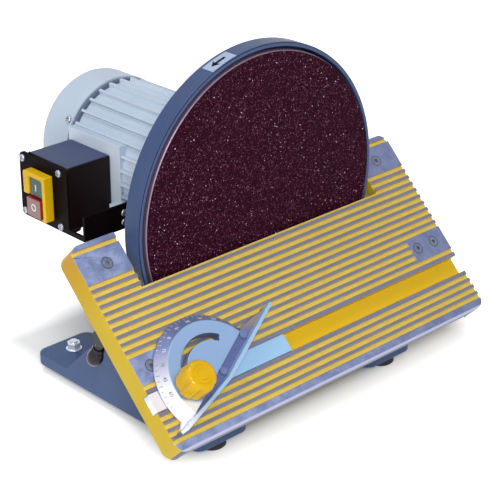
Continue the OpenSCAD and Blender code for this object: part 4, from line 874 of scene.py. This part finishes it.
def buildMarks():
    finish = coated("markWhite", rgb(226, 222, 220), rgb(206, 202, 202), bump=0.05)
    origin = axisMatrix.translation
    proud, sunk, half, reach = (markSet[key] for key in ("proud", "sunk", "barHalf", "barReach"))
    x, y, z = markSet["startX"], origin.y + markSet["midY"], origin.z + markSet["startZ"]
    bar = slab(x - proud, x + sunk, y - half, y + half, z - reach, z + reach)
    finishPiece("startMark", bar, "start_key", "white_plastic", material=finish)
    turn = Matrix.Translation((markSet["stopX"], y, origin.z + markSet["stopZ"]))
    turn = turn @ Matrix.Rotation(-math.pi / 2, 4, "Y")
    ring = tube("stopRing", markSet["inner"], markSet["outer"], -sunk, proud, markSet["steps"], turn)
    finishPiece("stopMark", ring, "stop_key", "white_plastic", material=finish)


buildMarks()

# scale on the bevel of the protractor head
scaleSet = {"outR": 62.5 * mm, "outH": 2.1 * mm, "inR": 52.5 * mm, "inH": 12.6 * mm, "step": 5, "first": 110,
            "count": 29, "tickW": 0.4 * mm, "tickH": 0.24 * mm, "textSize": 5.0 * mm, "textDeep": 0.12 * mm,
            "textAt": 0.62, "numbers": range(120, 241, 15), "middle": 180}
# how far up the bevel, every how many steps, and the length of the tick
tickRows = ((0.16, 1, 2.4 * mm), (0.22, 2, 3.6 * mm))
bevelSlope = math.atan2(scaleSet["inH"] - scaleSet["outH"], scaleSet["outR"] - scaleSet["inR"])


def tickTree():
    tree, g, gin, gout = geoTree("scaleTicks", [
        ("Count", "NodeSocketInt", 10), ("First", "NodeSocketFloat", 0.0), ("Step", "NodeSocketFloat", 0.1),
        ("Radius", "NodeSocketFloat", 0.05), ("Height", "NodeSocketFloat", 0.01), ("Slope", "NodeSocketFloat", 0.5),
        ("Size", "NodeSocketVector", (0.003, 0.0004, 0.0002)), ("Material", "NodeSocketMaterial", None)])
    index = g.node("GeometryNodeInputIndex").outputs[0]
    angle = g.math("ADD", gin.outputs["First"], g.math("MULTIPLY", index, gin.outputs["Step"]))
    spot = g.node("ShaderNodeCombineXYZ")
    g.fill(spot, X=g.math("MULTIPLY", g.math("COSINE", angle), gin.outputs["Radius"]),
           Y=g.math("MULTIPLY", g.math("SINE", angle), gin.outputs["Radius"]), Z=gin.outputs["Height"])
    points = g.node("GeometryNodePoints")
    g.fill(points, Count=gin.outputs["Count"], Position=spot.outputs[0])
    block = g.node("GeometryNodeMeshCube")
    g.fill(block, Size=gin.outputs["Size"])
    lean = g.node("ShaderNodeCombineXYZ")
    g.fill(lean, Y=gin.outputs["Slope"])
    tilted = g.node("GeometryNodeTransform")
    g.fill(tilted, Geometry=block.outputs["Mesh"], Rotation=lean.outputs[0])
    heading = g.node("ShaderNodeCombineXYZ")
    g.fill(heading, Z=angle)
    copies = g.node("GeometryNodeInstanceOnPoints")
    g.fill(copies, Points=points.outputs[0], Instance=tilted.outputs[0], Rotation=heading.outputs[0])
    closeTree(g, gin, gout, copies.outputs[0])
    return tree


def onBevel(share):
    # radius and height part of the way up the bevel
    return (scaleSet["outR"] + share * (scaleSet["inR"] - scaleSet["outR"]),
            scaleSet["outH"] + share * (scaleSet["inH"] - scaleSet["outH"]))


def numberMesh(words, angle):
    curve = bpy.data.curves.new("number", "FONT")
    curve.body = words
    curve.size = scaleSet["textSize"]
    curve.align_x = "CENTER"
    curve.align_y = "CENTER"
    curve.extrude = scaleSet["textDeep"]
    obj = addObject("number", curve)
    mesh = plainMesh(obj)
    bpy.data.objects.remove(obj)
    radius, height = onBevel(scaleSet["textAt"])
    lay = Matrix.Rotation(math.pi / 2, 4, "Z") @ Matrix.Rotation(bevelSlope, 4, "X")
    lay = Matrix.Translation((radius, 0, height)) @ lay
    mesh.transform(headMatrix @ Matrix.Rotation(math.radians(angle), 4, "Z") @ lay)
    return mesh


def buildScale():
    # painted: the ink turns dark towards the near left end, where the head carries its painted reflection
    ink = gaugeFinish("scaleInk", rgb(224, 230, 244), rgb(224, 230, 244), rgb(40, 44, 66), level=1.0,
                      glareFrom=(-22 * mm, -22 * mm), glareTo=(2 * mm, 2 * mm))
    tree = tickTree()
    meshes = []
    for share, every, length in tickRows:
        radius, height = onBevel(share)
        meshes.append(grow("ticks", tree, {
            "Count": (scaleSet["count"] + every - 1) // every, "First": math.radians(scaleSet["first"]),
            "Step": math.radians(scaleSet["step"] * every), "Radius": radius, "Height": height, "Slope": bevelSlope,
            "Size": (length, scaleSet["tickW"], scaleSet["tickH"]), "Material": ink}, turn=headMatrix))
    for angle in scaleSet["numbers"]:
        meshes.append(numberMesh(str(abs(angle - scaleSet["middle"])), angle))
    finishPiece("scaleMarks", joined("scaleMarks", meshes), "gauge_head", "black_plastic", material=ink)


buildScale()

# lobed clamp knob with rings on its crown
knobSet = {"radius": 16.7 * mm, "height": 26.6 * mm, "flutes": 6, "fluteR": 5.2 * mm, "fluteAt": 19.55 * mm,
           "lift": 0.3 * mm, "steps": 240, "smooth": 38}


def buildKnob():
    r, h, z0 = knobSet["radius"], knobSet["height"], knobSet["lift"]
    side = [(0, 0), (r * 0.78, 0), (r * 0.82, 1.2 * mm), (r * 0.92, 1.4 * mm), (r * 0.98, 2.6 * mm), (r, 6 * mm),
            (r * 0.99, h * 0.55), (r * 0.96, h * 0.8), (r * 0.90, h * 0.93), (r * 0.80, h * 0.985), (r * 0.70, h)]
    crown = [(r * 0.62, h), (r * 0.60, h - 0.5 * mm), (r * 0.54, h - 0.5 * mm), (r * 0.52, h),
             (r * 0.40, h + 0.2 * mm), (r * 0.38, h - 0.3 * mm), (r * 0.32, h - 0.3 * mm),
             (r * 0.30, h + 0.25 * mm), (r * 0.12, h + 0.5 * mm), (0, h + 0.5 * mm)]
    profile = [(a, b + z0) for a, b in side + crown]

    def lobes(radius, a):
        # the ray at this angle stops at the nearest flute
        step = 2 * math.pi / knobSet["flutes"]
        off = abs((a + step / 2) % step - step / 2)
        room = knobSet["fluteR"] ** 2 - (knobSet["fluteAt"] * math.sin(off)) ** 2
        if room <= 0:
            return radius
        return min(radius, knobSet["fluteAt"] * math.cos(off) - math.sqrt(room))
    finish = coated("knobYellow", rgb(220, 180, 2), rgb(206, 160, 1), rough=(0.14, 0.22), bump=0.04, gloss=0.22)
    mesh = lathe("knobLobes", profile, knobSet["steps"], knobMatrix, lobes)
    finishPiece("knobLobes", mesh, "gauge_knob", "yellow_plastic", ("mitre_knob",), finish, smooth=knobSet["smooth"])


buildKnob()
print("added pieces ready")

# stage: white floor that keeps the shadow, soft lamps
stageSet = {"nearGlow": 0.0, "farGlow": 0.75, "fade": 0.055, "middle": (0.05, 0.025, 0.0), "half": (0.18, 0.15, 0.0),
            "world": 0.3, "size": 12.0, "colour": (0.92, 0.92, 0.92, 1), "white": (1, 1, 1, 1), "rough": 0.9,
            "gloss": 0.1}


def cameraRays(g):
    path = g.node("ShaderNodeLightPath")
    seen = g.math("MAXIMUM", path.outputs["Is Camera Ray"], path.outputs["Is Glossy Ray"])
    return g.math("MAXIMUM", seen, path.outputs["Is Transmission Ray"])


def buildStage():
    mesh = bpy.data.meshes.new("floor")
    half = stageSet["size"] / 2
    mesh.from_pydata([(-half, -half, 0), (half, -half, 0), (half, half, 0), (-half, half, 0)], [], [(0, 1, 2, 3)])
    floor = addObject("floor", mesh)
    mat, g, bsdf, coords = newMaterial("floorWhite")
    # the glow starts past a box round the object, so that its shadow stays
    reach = coords
    for step, value in (("SUBTRACT", stageSet["middle"]), ("ABSOLUTE", None), ("SUBTRACT", stageSet["half"]),
                        ("MAXIMUM", (0, 0, 0)), ("LENGTH", None)):
        node = g.node("ShaderNodeVectorMath", operation=step)
        g.link(reach, node.inputs[0])
        if value:
            g.feed(node.inputs[1], value)
        reach = node.outputs["Value" if step == "LENGTH" else "Vector"]
    glow = g.ramp(reach, 0.0, stageSet["fade"], stageSet["nearGlow"], stageSet["farGlow"])
    g.fill(bsdf, Base_Color=stageSet["colour"], Roughness=stageSet["rough"], Specular_IOR_Level=stageSet["gloss"],
           Emission_Color=stageSet["white"], Emission_Strength=g.math("MULTIPLY", cameraRays(g), glow))
    mesh.materials.append(mat)
    world = bpy.data.worlds.new("studio")
    bpy.context.scene.world = world
    world.use_nodes = True
    world.node_tree.nodes.clear()
    w = Graph(world.node_tree)
    out = w.node("ShaderNodeOutputWorld")
    sky = w.node("ShaderNodeBackground")
    w.fill(sky, Color=stageSet["white"], Strength=w.ramp(cameraRays(w), 0, 1, stageSet["world"], 1.0))
    w.link(sky.outputs[0], out.inputs[0])


lampSet = [
    {"name": "keyLamp", "at": (-1.2, -1.5, 1.25), "power": 30, "size": 0.5},
    {"name": "sideLamp", "at": (-1.8, 0.2, 0.7), "power": 4, "size": 1.2},
    {"name": "topLamp", "at": (-0.3, 0.2, 1.9), "power": 12, "size": 0.8},
]
lampAim = Vector((0, 0, 0.18))


def buildLamps():
    for row in lampSet:
        data = bpy.data.lights.new(row["name"], "AREA")
        data.energy = row["power"]
        data.size = row["size"]
        lamp = addObject(row["name"], data)
        lamp.location = row["at"]
        lamp.rotation_euler = (lampAim - Vector(row["at"])).to_track_quat("-Z", "Y").to_euler()


buildStage()
buildLamps()
bpy.context.scene.view_settings.view_transform = "Standard"
print("stage and lamps ready")
